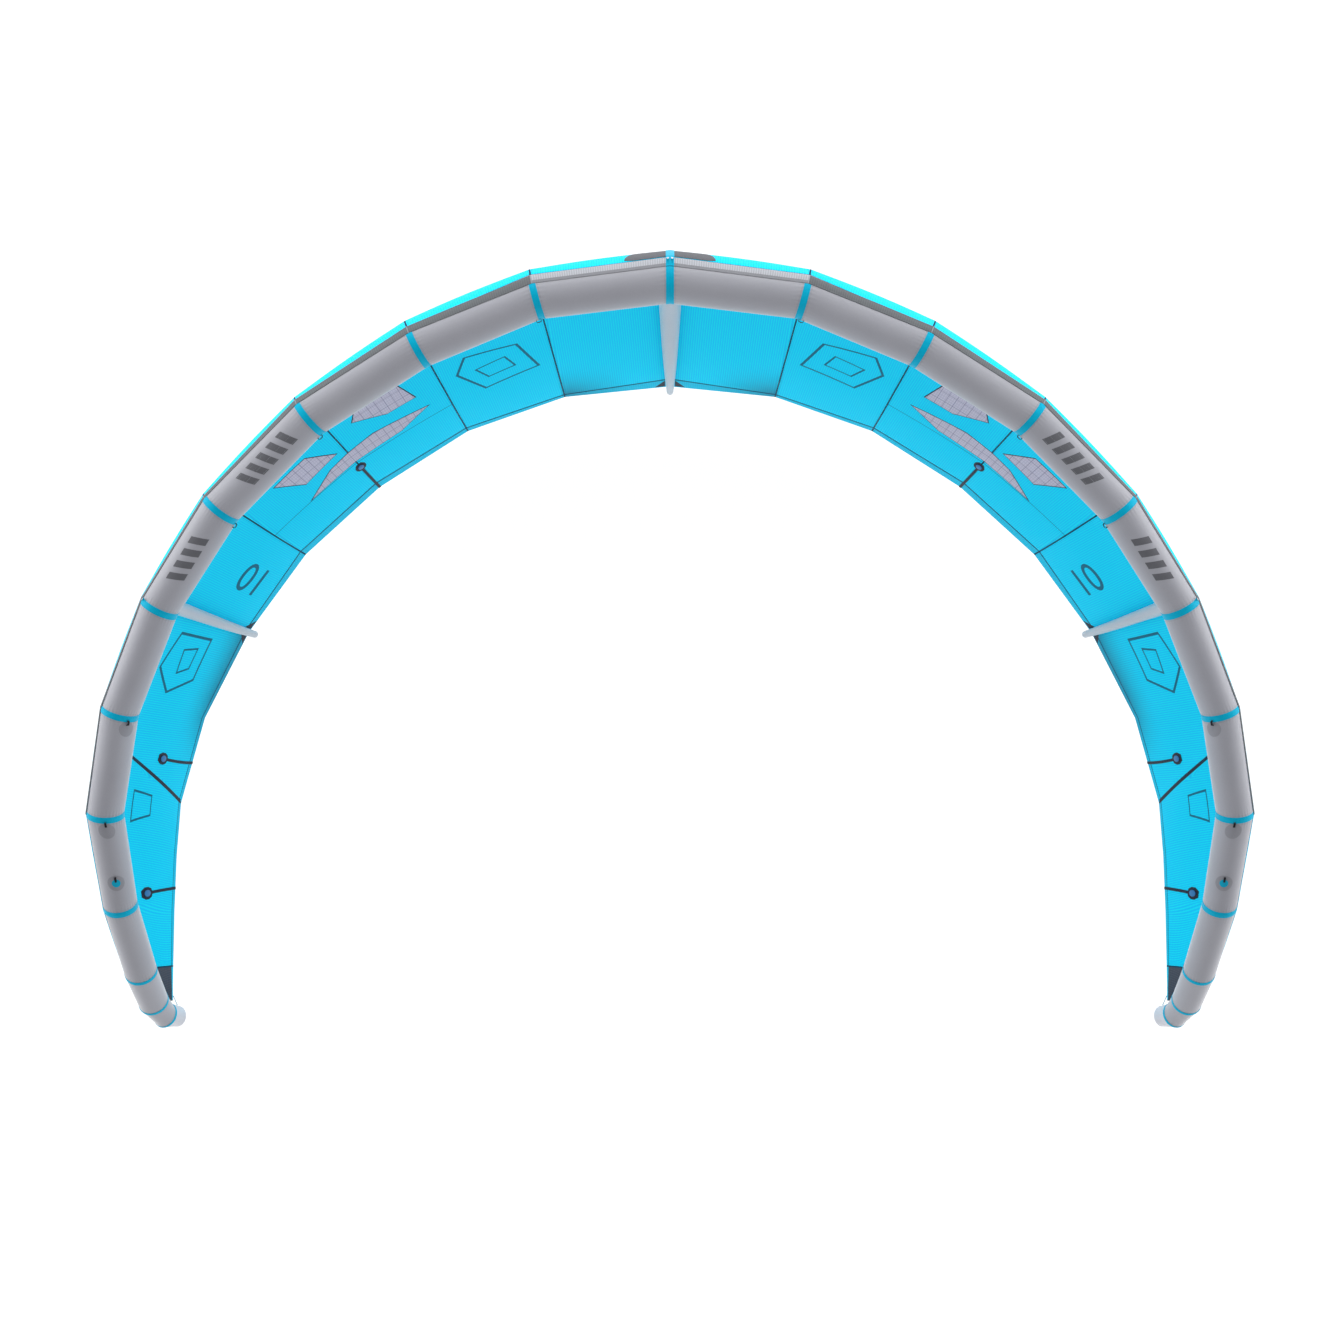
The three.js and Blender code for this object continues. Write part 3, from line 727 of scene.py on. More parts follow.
def lay_out_gore(piece, first, last):
    x, y, z = corners_of(piece).T
    span, column = first + (last - first) * x, TAIL * y
    width = cloth_width(span, column) * MM
    tail = tail_distance(span, column) * MM
    lay_out(piece, "cloth", (span - (first + last) / 2) * width, tail)
    hem = np.interp(span, range(len(HEM)), HEM) * MM
    line = np.interp(span, range(len(HEM)), HEM_LINE) * MM
    lay_out(piece, "edges", np.minimum(span - first, last - span) * width, (tail - hem) / line)
    lay_out(piece, "place", span / LAST_RIB, column / TAIL)


def gore_size(first, last):
    """The widest and the longest run of cloth in a gore, in metres."""
    grid = cloth(np.linspace(first, last, 25)[:, None], TABLE_COLUMNS[None, :])
    across = np.linalg.norm(np.diff(grid, axis=0), axis=-1).sum(axis=0).max()
    along = np.linalg.norm(np.diff(grid, axis=1), axis=-1).sum(axis=1).max()
    return across * MM, along * MM


gores, cuts = [], []
for number, (first, last, cells) in enumerate(GORES, 1):
    piece = flat_cloth(f"gore_right_{number}", cells, ROWS)
    lay_out_gore(piece, first, last)
    width, length = gore_size(first, last)
    carry(piece, lambda x, y, z: stand(cloth(gore_spans(first, last, x, TAIL * y), TAIL * y)))
    area = area_of(piece)
    thicken(piece, CLOTH_THICKNESS)
    smooth(piece, 50)
    node = "tip_panel_right" if number == len(GORES) else f"canopy_right_{number}"
    pair = fit_pair(piece, "tip_panel" if number == len(GORES) else "canopy", node)
    cuts += [(width, length, area)] * 2
    gores += pair
    print(f"{piece.name} is {width:.3f} by {length:.3f} m flat, {area:.3f} square metres")
tell("gores", gores)

# %% [markdown]
# ## The struts
# An inflated strut hangs under a rib and holds the canopy's camber. It is a sleeve whose rings
# follow the rib. Its first ring is fitted to the tube: each line of the sleeve is drawn out until it
# meets the tube's round side, which gives the saddle that the real one is sewn with. The last rings
# close in a dome, which stands on the floor.

# %% Struts, fitted to the tube
STRUTS = [
    # name, nodes, rib, radius at the root and at the tail, and how late it tapers
    ("strut_sleeve_middle", ("strut_center",), 0, 50, 13.5, 1.4),
    ("strut_sleeve_right", ("strut_right",), 5, 32, 13.5, 1),
]
STRUT_SIDES, STRUT_RINGS = 64, 72
RIDGE = math.cos(math.radians(7))
DOME_ANGLES = np.radians((0, 12, 24, 36, 48, 60, 70, 79, 86))
UP_FROM_FLOOR = np.array((0, -math.cos(STAND_ANGLE), math.sin(STAND_ANGLE)))


def strut_axis(rib, root, tail, taper):
    """Points and radii along a strut, and its sideways direction."""
    columns = np.linspace(LEAVE + 0.35, TAIL, STRUT_RINGS - len(DOME_ANGLES))
    chord = ((columns - LEAVE) / (TAIL - LEAVE)) ** CROWD
    radii = root - (root - tail) * chord ** taper
    places = cloth(np.full_like(columns, rib), columns, -(radii + GAP) / RIDGE)
    run = unit(places[-1] - places[-7])
    height = stand(places[-1])[2] / MM
    extra = (height - tail) / -(run @ UP_FROM_FLOOR)
    dome = places[-1] + run * (extra + tail * np.sin(DOME_ANGLES))[:, None]
    normal = outward(swollen_cloth, np.array(float(rib)), np.array(13.0))
    side = np.cross(run, normal)
    points = np.vstack([places, dome])
    return points, np.concatenate([radii, tail * np.cos(DOME_ANGLES)]), side


def inside_tube(points, rib):
    """Whether points lie in the tube near a rib, with the sewing gap added."""
    seam = RIBS[rib, 0]
    far = SEAMS[int(seam) + 1]
    run = unit(far[:3] - HERE[int(seam)])
    aside = points - HERE[int(seam)]
    if seam == 0:
        aside[..., 0] = np.abs(aside[..., 0])
    axis = run if seam == 0 else ALONG[int(seam)]
    reach = np.linalg.norm(aside - dot(aside, axis) * axis, axis=-1)
    return reach < SEAMS[int(seam), 3] + GAP


def strut_places(rib, root, tail, taper):
    points, radii, side = strut_axis(rib, root, tail, taper)
    along = unit(np.gradient(points, axis=0))
    across = unit(side - dot(along, side) * along)
    up = np.cross(across, along)

    def rule(x, y, z):
        turn = np.arctan2(y, x)
        ring = np.round((1 - z) * (STRUT_RINGS - 1)).astype(int)

        def at(place):
            low = np.clip(np.floor(place), 0, STRUT_RINGS - 2).astype(int)
            share = (place - low)[:, None]
            def part(values):
                return values[low] * (1 - share) + values[low + 1] * share
            size = part(radii[:, None])
            return part(points) + size * (
                part(across) * np.cos(turn)[:, None] + part(up) * np.sin(turn)[:, None])

        low, high = np.full_like(turn, -6.0), np.full_like(turn, 16.0)
        for _ in range(30):
            middle = (low + high) / 2
            hidden = inside_tube(at(middle), rib)
            low, high = np.where(hidden, middle, low), np.where(hidden, high, middle)
        eased = np.clip(1 - ring / 20, 0, 1) ** 2
        return stand(at(ring + high * eased))
    return rule


struts = []
for name, nodes, rib, root, tail, taper in STRUTS:
    piece = sleeve(name, STRUT_SIDES, STRUT_RINGS)
    x, y, z = corners_of(piece).T
    points, radii, side = strut_axis(rib, root, tail, taper)
    ring = np.round((1 - z) * (STRUT_RINGS - 1)).astype(int)
    run = np.concatenate([[0], np.cumsum(np.linalg.norm(np.diff(points, axis=0), axis=1))])
    turn = np.arctan2(y, x) / (2 * math.pi)
    lay_out(piece, "cloth", turn, run[ring] * MM, 2 * math.pi * radii[ring] * MM)
    carry(piece, strut_places(rib, root, tail, taper))
    face_out(piece)
    set_down(piece)
    smooth(piece, 50)
    paired = "right" in name
    struts += fit_pair(piece, "strut", *nodes) if paired else [fit_out(piece, "strut", *nodes)]
tell("struts", struts)

# %% [markdown]
# ## Pieces that are laid on the canopy
# Battens, patches, tapes and prints are all cut flat and laid on a gore. One helper does this: a grid
# over the patch's box is cut along each side of its outline with Bisect, then each corner is carried
# from flat millimetres, across from a rib and ahead of the trailing edge, onto the cloth.


# %% A flat patch, cut and laid on the cloth
def cut_flat(name, outline, cell=12):
    """A grid over the outline's box, cut along its sides. The outline turns to the left."""
    outline = np.array(outline, float)
    low, high = outline.min(axis=0), outline.max(axis=0)
    cells = np.maximum(np.ceil((high - low) / cell), 1).astype(int)
    piece = flat_cloth(name, int(cells[0]), int(cells[1]))
    wide, long = high - low
    carry(piece, lambda x, y, z: np.stack([low[0] + x * wide, low[1] + y * long, z], -1))
    bpy.ops.object.mode_set(mode="EDIT")
    for start, end in zip(outline, np.roll(outline, -1, axis=0)):
        bpy.ops.mesh.select_all(action="SELECT")
        side = unit(end - start)
        bpy.ops.mesh.bisect(
            plane_co=(*start, 0), plane_no=(side[1], -side[0], 0), clear_outer=True, threshold=1e-4)
    bpy.ops.object.mode_set(mode="OBJECT")
    return piece


def lay_on(piece, rib, lift, thickness=0.3):
    """Carry a flat patch onto the underside of the cloth."""
    x, y, z = corners_of(piece).T
    lay_out(piece, "cloth", x * MM, y * MM)
    width = cloth_width(np.full_like(x, rib), np.full_like(x, 8.0))

    def rule(x, y, z):
        span = rib + x / width
        column = column_at(np.abs(span), y)
        return stand(cloth(span, column, lift))

    carry(piece, rule)
    turn_over(piece)
    thicken(piece, thickness)
    smooth(piece)
    return piece


def oval(wide, long, sides):
    """Corners of an oval outline, from half its width and half its length."""
    turns = np.linspace(0, 2 * math.pi, sides + 1)[:-1]
    return [(wide * math.cos(turn), long * math.sin(turn)) for turn in turns]


print("patches can be cut and laid")

# %% [markdown]
# ## Battens
# A batten is a stiff rod in a dark sewn pocket that crosses the hem. Its inner end has a wide head
# of reinforcement cloth with a blue plate. The pocket and the head are one outline, cut from a grid
# and thickened, and the rod swells the pocket along its middle.

# %% Three battens a side
BATTENS = [
    # span at the head and at the tail, and length
    (3, 3, 420),
    (6.71, 6.53, 335),
    (8.79, 8.6, 270),
]
POCKET, HEAD_WIDTH, HEAD_LENGTH, BATTEN_GAP = 11, 44, 78, 0.8
PLATE_WIDE, PLATE_LONG, PLATE_CROWN, PLATE_GAP = 12, 22, 1.5, 3.0


def batten_outline(length):
    half = [
        (2, POCKET / 2),
        (length - HEAD_LENGTH, POCKET / 2),
        (length - HEAD_LENGTH * 0.94, HEAD_WIDTH * 0.34),
        (length - HEAD_LENGTH * 0.66, HEAD_WIDTH / 2),
        (length - HEAD_LENGTH * 0.34, HEAD_WIDTH / 2),
        (length, HEAD_WIDTH * 0.26),
    ]
    return np.array(half, float)


def batten_places(head, tail, length, lift, swell, share=1.0):
    """Carries a grid onto a batten: x across it, y along it."""
    outline = batten_outline(length)
    centre = length - HEAD_LENGTH / 2

    def rule(x, y, z):
        ahead = outline[0, 0] + (length - outline[0, 0]) * y
        half = np.interp(ahead, *outline.T)
        across = (2 * x - 1) * half * share
        ahead = centre + (ahead - centre) * share
        span = tail + (head - tail) * ahead / length
        column = column_at(span, ahead)
        span = span + across / cloth_width(span, column)
        rod = np.clip(1 - (across / (POCKET / 2)) ** 2, 0, 1) ** 0.5
        return stand(cloth(span, column, -lift - swell * rod))
    return rule


battens, plates = [], []
for number, (head, tail, length) in enumerate(BATTENS, 1):
    piece = flat_cloth(f"batten_pocket_right_{number}", 16, 90)
    x, y, z = corners_of(piece).T
    lay_out(piece, "cloth", (x - 0.5) * HEAD_WIDTH * MM, y * length * MM)
    carry(piece, batten_places(head, tail, length, BATTEN_GAP, 1.6))
    turn_over(piece)
    thicken(piece, 1.3)
    smooth(piece, 50)
    pocket = fit_pair(piece, "batten", f"batten_right_{number}")
    piece = cut_flat(f"batten_plate_right_{number}", oval(PLATE_WIDE, PLATE_LONG, 24), 8)
    x, y, z = corners_of(piece).T
    lay_out(piece, "cloth", x * MM, y * MM)
    middle = length - HEAD_LENGTH / 2

    def plate_rule(x, y, z):
        ahead = middle + y
        span = tail + (head - tail) * ahead / length
        column = column_at(span, ahead)
        crown = PLATE_CROWN * (1 - (x / PLATE_WIDE) ** 2 - (y / PLATE_LONG) ** 2)
        span = span + x / cloth_width(span, column)
        return stand(cloth(span, column, -BATTEN_GAP - PLATE_GAP - crown))

    carry(piece, plate_rule)
    turn_over(piece)
    thicken(piece, 0.8)
    smooth(piece, 50)
    battens += pocket
    plates += fit_pair(piece, "batten")
tell("batten pockets", battens)
tell("batten plates", plates)

# %% [markdown]
# ## Loops for the lines
# A line is tied to a loop of webbing that stands on the tube's seam. A loop is a strip folded into
# an arch with two feet, which is how webbing is sewn down: a plain block would show no daylight.

# %% Webbing loops
LOOPS = [
    # seam and angle, nearest the middle first
    (3.035, -85.5),
    (4.035, -85.5),
    (6.035, -40.5),
    (7.04, -10.5),
    (7.62, -10.5),
]
EXTRA_LOOP = (1.03, -86)
LOOP_LENGTH, LOOP_WIDTH, LOOP_HEIGHT, LOOP_THICKNESS = 18, 7, 9, 1.4
LOOP_RUN, FOOT, FOOT_LENGTH, FOOT_HEIGHT = 34, 0.14, 1.2, 0.35


def loop_places(seam, angle):
    here = tube_point(seam, angle)
    along = unit(tube_point(seam + 0.02, angle) - tube_point(seam - 0.02, angle))
    across = tube_point(seam, angle + 1) - tube_point(seam, angle - 1)
    across = unit(across - dot(across, along) * along)
    up = np.cross(along, across)
    axis = (tube_point(seam, 0) + tube_point(seam, 180)) / 2
    up = up * np.sign(up @ (here - axis))
    half = LOOP_LENGTH / 2 - LOOP_THICKNESS
    rise = LOOP_HEIGHT - LOOP_THICKNESS

    def rule(x, y, z):
        turn = np.clip((y - FOOT) / (1 - 2 * FOOT), 0, 1) * math.pi
        past = np.where(y < FOOT, FOOT - y, np.where(y > 1 - FOOT, y - (1 - FOOT), 0))
        foot = past / FOOT * FOOT_LENGTH
        length = np.sign(np.cos(turn)) * half * np.abs(np.cos(turn)) ** 0.55
        height = FOOT_HEIGHT + (rise - FOOT_HEIGHT) * np.sin(turn) ** 0.55 * (foot == 0)
        length = np.where(foot > 0, np.sign(0.5 - y) * (half - foot), length)
        return stand(here + across * ((x - 0.5) * LOOP_WIDTH)[:, None]
                     + along * length[:, None] + up * height[:, None])
    return rule


loops = []
for number, (seam, angle) in enumerate([*LOOPS, EXTRA_LOOP], 1):
    piece = flat_cloth(f"webbing_loop_right_{number}", 4, 40)
    x, y, z = corners_of(piece).T
    lay_out(piece, "cloth", x * LOOP_WIDTH * MM, y * LOOP_RUN * MM)
    carry(piece, loop_places(seam, angle))
    thicken(piece, LOOP_THICKNESS)
    smooth(piece, 50)
    nodes = [f"line_tab_right_{number}"] if number <= len(LOOPS) else []
    loops += fit_pair(piece, "webbing", *nodes)
tell("webbing loops", loops)

# %% [markdown]
# ## Cords at the tips
# A short cord holds the canopy's last corner to the end of the tube. It is two thin strands side by
# side, drawn tight, with a knot at each end. Each strand is a sleeve carried along a line.

# %% Two strands and their knots a side
TIP_LINE_RIB, TIP_LINE_SEAM, TIP_LINE_ANGLE = 11.7, 11.85, 255
LINE_LIFT, PAST_CORNER, OFF_TUBE, INLAND = 1.0, 1.9, 1.2, 0.8
corner = cloth(TIP_LINE_RIB, TAIL, LINE_LIFT)
inland = cloth(TIP_LINE_RIB, LEAVE + (TAIL - LEAVE) * INLAND ** (1 / CROWD), LINE_LIFT)
line_start = corner + unit(corner - inland) * PAST_CORNER
line_end = tube_point(TIP_LINE_SEAM, TIP_LINE_ANGLE, OFF_TUBE)
line_run = unit(line_end - line_start)
line_side = unit(np.cross(line_run, (0.0, 0.0, 1.0)))
line_up = np.cross(line_side, line_run)
line_length = np.linalg.norm(line_end - line_start)
STRAND_RADIUS, STRAND_ASIDE = 0.75, 0.8


def strand_places(x, y, z):
    """A sleeve drawn along the cord, thicker where it is knotted."""
    turn = np.arctan2(y, x)
    knot = np.exp(-((z - 0.1) / 0.06) ** 2) + np.exp(-((z - 0.9) / 0.06) ** 2)
    radius = STRAND_RADIUS * (1 + 0.9 * knot) * (1 + 0.12 * np.cos(3 * turn + 70 * z))
    wave = (0.7 * np.sin(z * 5.5 * math.pi) * (1 - knot))[:, None]
    middle = line_start + (line_end - line_start) * z[:, None] + line_side * wave
    ring = line_side * np.cos(turn)[:, None] + line_up * np.sin(turn)[:, None]
    return stand(middle + ring * radius[:, None])


cords = []
for number, sign in enumerate((1, -1), 1):
    piece = sleeve(f"tip_strand_right_{number}", 12, 60)
    x, y, z = corners_of(piece).T
    lay_out(piece, "cloth", np.arctan2(y, x) / (2 * math.pi), z * line_length * MM, 0.005)
    carry(piece, lambda x, y, z: strand_places(x * sign, y * sign, z))
    places = corners_of(piece)
    shift = stand(line_start + line_side * sign * STRAND_ASIDE) - stand(line_start)
    piece.data.vertices.foreach_set("co", (places + shift).ravel())
    face_out(piece)
    smooth(piece, 60)
    cords += fit_pair(piece, "line", "tip_line_right")
tell("tip cords", cords)
print("a tip cord is", round(line_length, 1), "mm long")

# %% [markdown]
# ## The crown's reinforcement
# A dark patch with round ends lies on top of the canopy at the middle, where the kite is launched
# and landed. The middle band of tape runs on over the cover strip and over this patch.

# %% The crown patch, and the tape over it
PATCH_HALF, PATCH_CORNER, PATCH_LIFT, PATCH_THICKNESS = 142, 42, 1.5, 1.1
PATCH_COLUMNS = (0.1, 3.7)


def crown_places(x, y, z):
    across = (2 * x - 1) * PATCH_HALF
    reach = np.clip(np.abs(across) - (PATCH_HALF - PATCH_CORNER), 0, PATCH_CORNER) / PATCH_CORNER
    share = np.maximum(0.2, np.sqrt(1 - np.minimum(reach, 1) ** 2))
    column = PATCH_COLUMNS[0] + (PATCH_COLUMNS[1] - PATCH_COLUMNS[0]) * (0.5 + (y - 0.5) * share)
    span = np.abs(across) / SEAMS[1, 0]
    points = cloth(np.maximum(span, 1e-4), column, PATCH_LIFT)
    points[:, 0] *= np.where(across < 0, -1, 1)
    return stand(points)


piece = flat_cloth("crown_cloth", 60, 16)
x, y, z = corners_of(piece).T
lay_out(piece, "cloth", x * 2 * PATCH_HALF * MM, y * 0.13)
carry(piece, crown_places)
thicken(piece, PATCH_THICKNESS)
smooth(piece, 50)
crown = fit_out(piece, "canopy", "crown_patch")


# The tape's first angle, its share on the strip, and its last column on the canopy
TAPE_FROM, ON_STRIP, TAPE_TO = 26.6, 0.3, 4.2
# Its lift off the tube, and by how much, from where and over how many degrees it climbs the cloth
STRIP_LIFT, CLIMB, CLIMB_FROM, CLIMB_OVER = 2.0, 2.0, 52.5, 2.5
CANOPY_LIFTS = ((0.0, 0.25, 0.7), (4.0, 3.8, 2.9))


def crown_tape_places(x, y, z):
    """From the strip's lower edge, over the strip, and back along the canopy over the patch."""
    across = (y - 0.5) * CENTER_TAPE[1]
    span = np.abs(across) / SEAMS[1, 0]
    angle = TAPE_FROM + (COVER_TO - TAPE_FROM) * np.clip(x / ON_STRIP, 0, 1)
    climb = CLIMB * np.clip((angle - CLIMB_FROM) / CLIMB_OVER, 0, 1)
    strip = tube_point(span, angle, STRIP_LIFT + climb)
    column = np.clip((x - ON_STRIP) / (1 - ON_STRIP), 0, 1) * TAPE_TO
    canopy = cloth(np.maximum(span, 1e-4), column, np.interp(column, *CANOPY_LIFTS))
    points = np.where((x < ON_STRIP + 0.01)[:, None], strip, canopy)
    points[:, 0] *= np.where(across < 0, -1, 1)
    return stand(points)


piece = flat_cloth("crown_tape", 70, 4)
x, y, z = corners_of(piece).T
lay_out(piece, "cloth", x * 0.25, y * CENTER_TAPE[1] * MM)
carry(piece, crown_tape_places)
turn_over(piece)
thicken(piece, TAPE_THICKNESS)
smooth(piece, 50)
tapes.append(fit_out(piece, "webbing"))
tell("crown", [crown, tapes[-1]])

# %% [markdown]
# ## Windows, prints and reinforcements of the canopy
# Some places of the canopy have a window of scrim, a see-through film with a grid of threads, edged
# with dark tape. Others are printed with outlined shapes and with the kite's size in square metres.
# All are flat shapes laid on the underside, a few tenths of a millimetre apart, so none shares a
# surface with the cloth behind it.


# %% Outlines, drawn as strips
def inset_corners(corners, width):
    """The corners of a convex outline, moved inwards."""
    corners = np.array(corners, float)
    sides = unit(np.roll(corners, -1, axis=0) - corners)
    before = np.roll(sides, 1, axis=0)
    inward = np.stack([-sides[:, 1], sides[:, 0]], -1) + np.stack([-before[:, 1], before[:, 0]], -1)
    turn = before[:, 0] * sides[:, 1] - before[:, 1] * sides[:, 0]
    cosine = (before * sides).sum(-1)
    assert (turn > 0).all()
    return corners + inward * (width / (1 + cosine))[:, None]


def cut_ring(name, corners, width):
    """An outline as wide as a printed line, in one piece."""
    inner = inset_corners(corners, width)
    corners = np.array(corners, float)
    strips_made = []
    for index in range(len(corners)):
        after = (index + 1) % len(corners)
        side = [corners[index], corners[after], inner[after], inner[index]]
        strips_made.append(cut_flat(f"{name}_{index}", side, 25))
    only(strips_made[0])
    for strip in strips_made:
        strip.select_set(True)
    bpy.ops.object.join()
    piece = bpy.context.object
    piece.name = name
    return piece


WINDOWS = [
    # rib, and corners in millimetres: across from the rib, ahead of the trailing edge
    (3, [(-360, 560), (-215, 470), (240, 445), (95, 560), (-120, 610)]),
    (3, [(-330, 690), (-205, 690), (-80, 800), (-120, 900), (-290, 900)]),
    (3, [(30, 640), (200, 600), (290, 780), (130, 800)]),
]
EDGING, FILM_LIFT = 4.5, -0.15
films, edgings = [], []
for number, (rib, corners) in enumerate(WINDOWS, 1):
    back = lay_on(cut_flat(f"window_edging_right_{number}", corners), rib, FILM_LIFT, 0.2)
    front = cut_flat(f"window_film_right_{number}", inset_corners(corners, EDGING))
    front = lay_on(front, rib, FILM_LIFT - 0.4, 0.2)
    edgings += fit_pair(back, "canopy")
    films += fit_pair(front, "canopy")
tell("windows", films + edgings)

# %% [markdown]
# ## Prints and stays
# The printed shapes are plain outlines, each joined from one strip for each of its sides. The numeral
# starts as text and is turned into a mesh, with cuts across it so that it can bend with the cloth.
# Stays are dark tapes and corner patches.

# %% Printed outlines, the size, and stays
PRINTS = [
    # rib, line width and corners
    (1, 11, [(60, 520), (300, 470), (385, 700), (330, 840), (120, 800)]),
    (1, 8, [(150, 600), (270, 575), (310, 690), (180, 720)]),
    (5, 11, [(70, 330), (250, 300), (320, 470), (230, 620), (80, 600)]),
    (5, 8, [(120, 400), (210, 385), (240, 470), (140, 510)]),
    (7, 7, [(60, 300), (130, 280), (180, 420), (80, 450)]),
]
PRINT_LIFT = -0.2
prints = []
for number, (rib, width, corners) in enumerate(PRINTS, 1):
    piece = lay_on(cut_ring(f"outline_right_{number}", corners, width), rib, PRINT_LIFT, 0.2)
    prints += fit_pair(piece, "canopy")

bpy.ops.object.select_all(action="DESELECT")
bpy.ops.object.text_add()
numeral = bpy.context.object
numeral.data.body = "10"
bpy.ops.object.convert(target="MESH")
numeral = bpy.context.object
numeral.name = "size_numeral_right"
bpy.ops.object.mode_set(mode="EDIT")
for place in np.linspace(0.1, 1.1, 9):
    bpy.ops.mesh.select_all(action="SELECT")
    bpy.ops.mesh.bisect(plane_co=(place, 0, 0), plane_no=(1, 0, 0))
bpy.ops.object.mode_set(mode="OBJECT")
NUMERAL_RIB, NUMERAL_AT, NUMERAL_SIZE = 4, (262, 195), (185, 262)
carry(numeral, lambda x, y, z: np.stack([
    NUMERAL_AT[0] - y * NUMERAL_SIZE[0], NUMERAL_AT[1] + x * NUMERAL_SIZE[1], z], -1))
prints += fit_pair(lay_on(numeral, NUMERAL_RIB, PRINT_LIFT, 0.2), "canopy")

SEAM_STRIPS = [
    # rib and corners: the slanting tape at the seventh rib, and stays beside the struts
    (7, [(-6, 14), (6, 14), (6, 1030), (-6, 1030)]),
    (0, [(22, 12), (66, 12), (22, 104)]),
    (5, [(15, 8), (56, 8), (15, 84)]),
    (5, [(-56, 8), (-15, 8), (-15, 84)]),
]
seam_strips = []
for number, (rib, corners) in enumerate(SEAM_STRIPS, 1):
    piece = lay_on(cut_flat(f"stay_right_{number}", corners), rib, -0.15, 0.4)
    seam_strips += fit_pair(piece, "canopy")
tell("prints", prints)
tell("tapes on the canopy", seam_strips)

# %% [markdown]
# ## Patches on the tube
# Round patches spread the pull of a line loop over the tube's cloth, and a few slanting bars are
# printed on the tube. They are cut flat as well, and wrapped round the tube by one rule.


# %% Round patches and printed bars
def wrap_on_tube(piece, seam, angle, lift, thickness=0.3):
    """Carry a flat patch onto the tube: x along it, y round it."""
    x, y, z = corners_of(piece).T
    lay_out(piece, "cloth", x * MM, y * MM)

    def rule(x, y, z):
        turn = angle + np.degrees(y / np.interp(seam, range(len(SEAMS)), SEAMS[:, 3]))
        place = seam + x / gap_length(np.full_like(x, seam), turn)
        return stand(tube_point(place, turn, lift))

    carry(piece, rule)
    turn_over(piece)
    thicken(piece, thickness)
    smooth(piece)
    return piece


ROUND_PATCHES = [
    # seam, angle, radius and whether it is cyan
    (6.1, -40.5, 27, False),
    (7.11, -10.5, 29, False),
    (7.66, -10.5, 30, False),
    (7.66, -10.5, 15, True),
]
patches, cyan_patches = [], []
for number, (seam, angle, radius, cyan) in enumerate(ROUND_PATCHES, 1):
    piece = cut_flat(f"round_patch_right_{number}", oval(radius, radius, 40), 6)
    piece = wrap_on_tube(piece, seam, angle, 0.75 if cyan else 0.2, 0.3)
    pair = fit_pair(piece, "webbing")
    patches += [] if cyan else pair
    cyan_patches += pair if cyan else []

BARS = [
    # seam and angle of a row of slanting bars, their number, width, height and pitch
    (3.22, -4, 5, 26, 62, 47),
    (4.3, -4, 4, 26, 58, 47),
]
bars = []
for row, (seam, angle, count, width, height, pitch) in enumerate(BARS, 1):
    for index in range(count):
        place = seam + index * pitch / gap_length(np.array(seam), np.array(0.0))
        slant = height * 0.22
        corners = [(-width / 2 - slant, -height / 2), (width / 2 - slant, -height / 2),
                   (width / 2 + slant, height / 2), (-width / 2 + slant, height / 2)]
        piece = cut_flat(f"tube_bar_right_{row}_{index + 1}", corners, 8)
        bars += fit_pair(wrap_on_tube(piece, place, angle, 0.1, 0.2), "tube")
tell("patches on the tube", patches + cyan_patches)
tell("bars on the tube", bars)

# %% [markdown]
# Gores, strips and crown patch are sheets, stretched by the air in the tube. What is sewn or printed
# on a gore is listed with it, found by its distance from the gore's corners: a piece across a seam
# is listed with one gore only, and the count for each gore is printed. The tube's sleeves and the
# struts are blown up tight. The area printed for each gore is that of its own mesh, so it says how
# large the piece is, and isn't a test of its size.

# %% Patches listed with their gores
def nearest(piece, others):
    centre = corners_of(piece).mean(axis=0)
    return min(others, key=lambda other: np.linalg.norm(corners_of(other) - centre, axis=1).min())


carried = {gore.name: [] for gore in gores}
for piece in films + edgings + prints + seam_strips + battens + plates:
    carried[nearest(piece, gores).name].append(piece)
for gore, (width, length, area) in zip(gores, cuts):
    nearest(gore, tube + tube_ends)
    min(area, width * length)
for strip in strips:
    nearest(strip, tube)
for piece in tube + tube_ends + struts:
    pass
print({name: len(pieces) for name, pieces in carried.items()})

# %% [markdown]
# ## Materials as arithmetic
# A finish is built from a few numbers: where a thread runs, how near a seam is. Written with nodes
# alone that takes hundreds of clicks, so one small class wraps a node's output and lets Python's own
# operators add the Math nodes. Colours don't go through Math, which would turn them grey, but through
# Mix.


# %% A strand, a finish and a colour
class Strand:
    """The output of a node, which adds, subtracts, multiplies and compares as a number does."""

    def __init__(self, finish, socket):
        self.finish = finish
        self.socket = socket

    def maths(self, operation, *values):
        return self.finish.node("ShaderNodeMath", {"operation": operation}, values)

    def __add__(self, other):
        return self.maths("ADD", self, other)

    def __sub__(self, other):
        return self.maths("SUBTRACT", self, other)

    def __rsub__(self, other):
        return self.maths("SUBTRACT", other, self)

    def __mul__(self, other):
        return self.maths("MULTIPLY", self, other)

    def __truediv__(self, other):
        return self.maths("DIVIDE", self, other)

    def __lt__(self, other):
        return self.maths("LESS_THAN", self, other)

    def __gt__(self, other):
        return self.maths("GREATER_THAN", self, other)

    def __abs__(self):
        return self.maths("ABSOLUTE", self)

    def sine(self):
        return self.maths("SINE", self)

    def fraction(self):
        return self.maths("FRACT", self)

    def kept(self):
        """Held between 0 and 1."""
        return self.finish.node("ShaderNodeClamp", {}, [self])

    __radd__, __rmul__ = __add__, __mul__


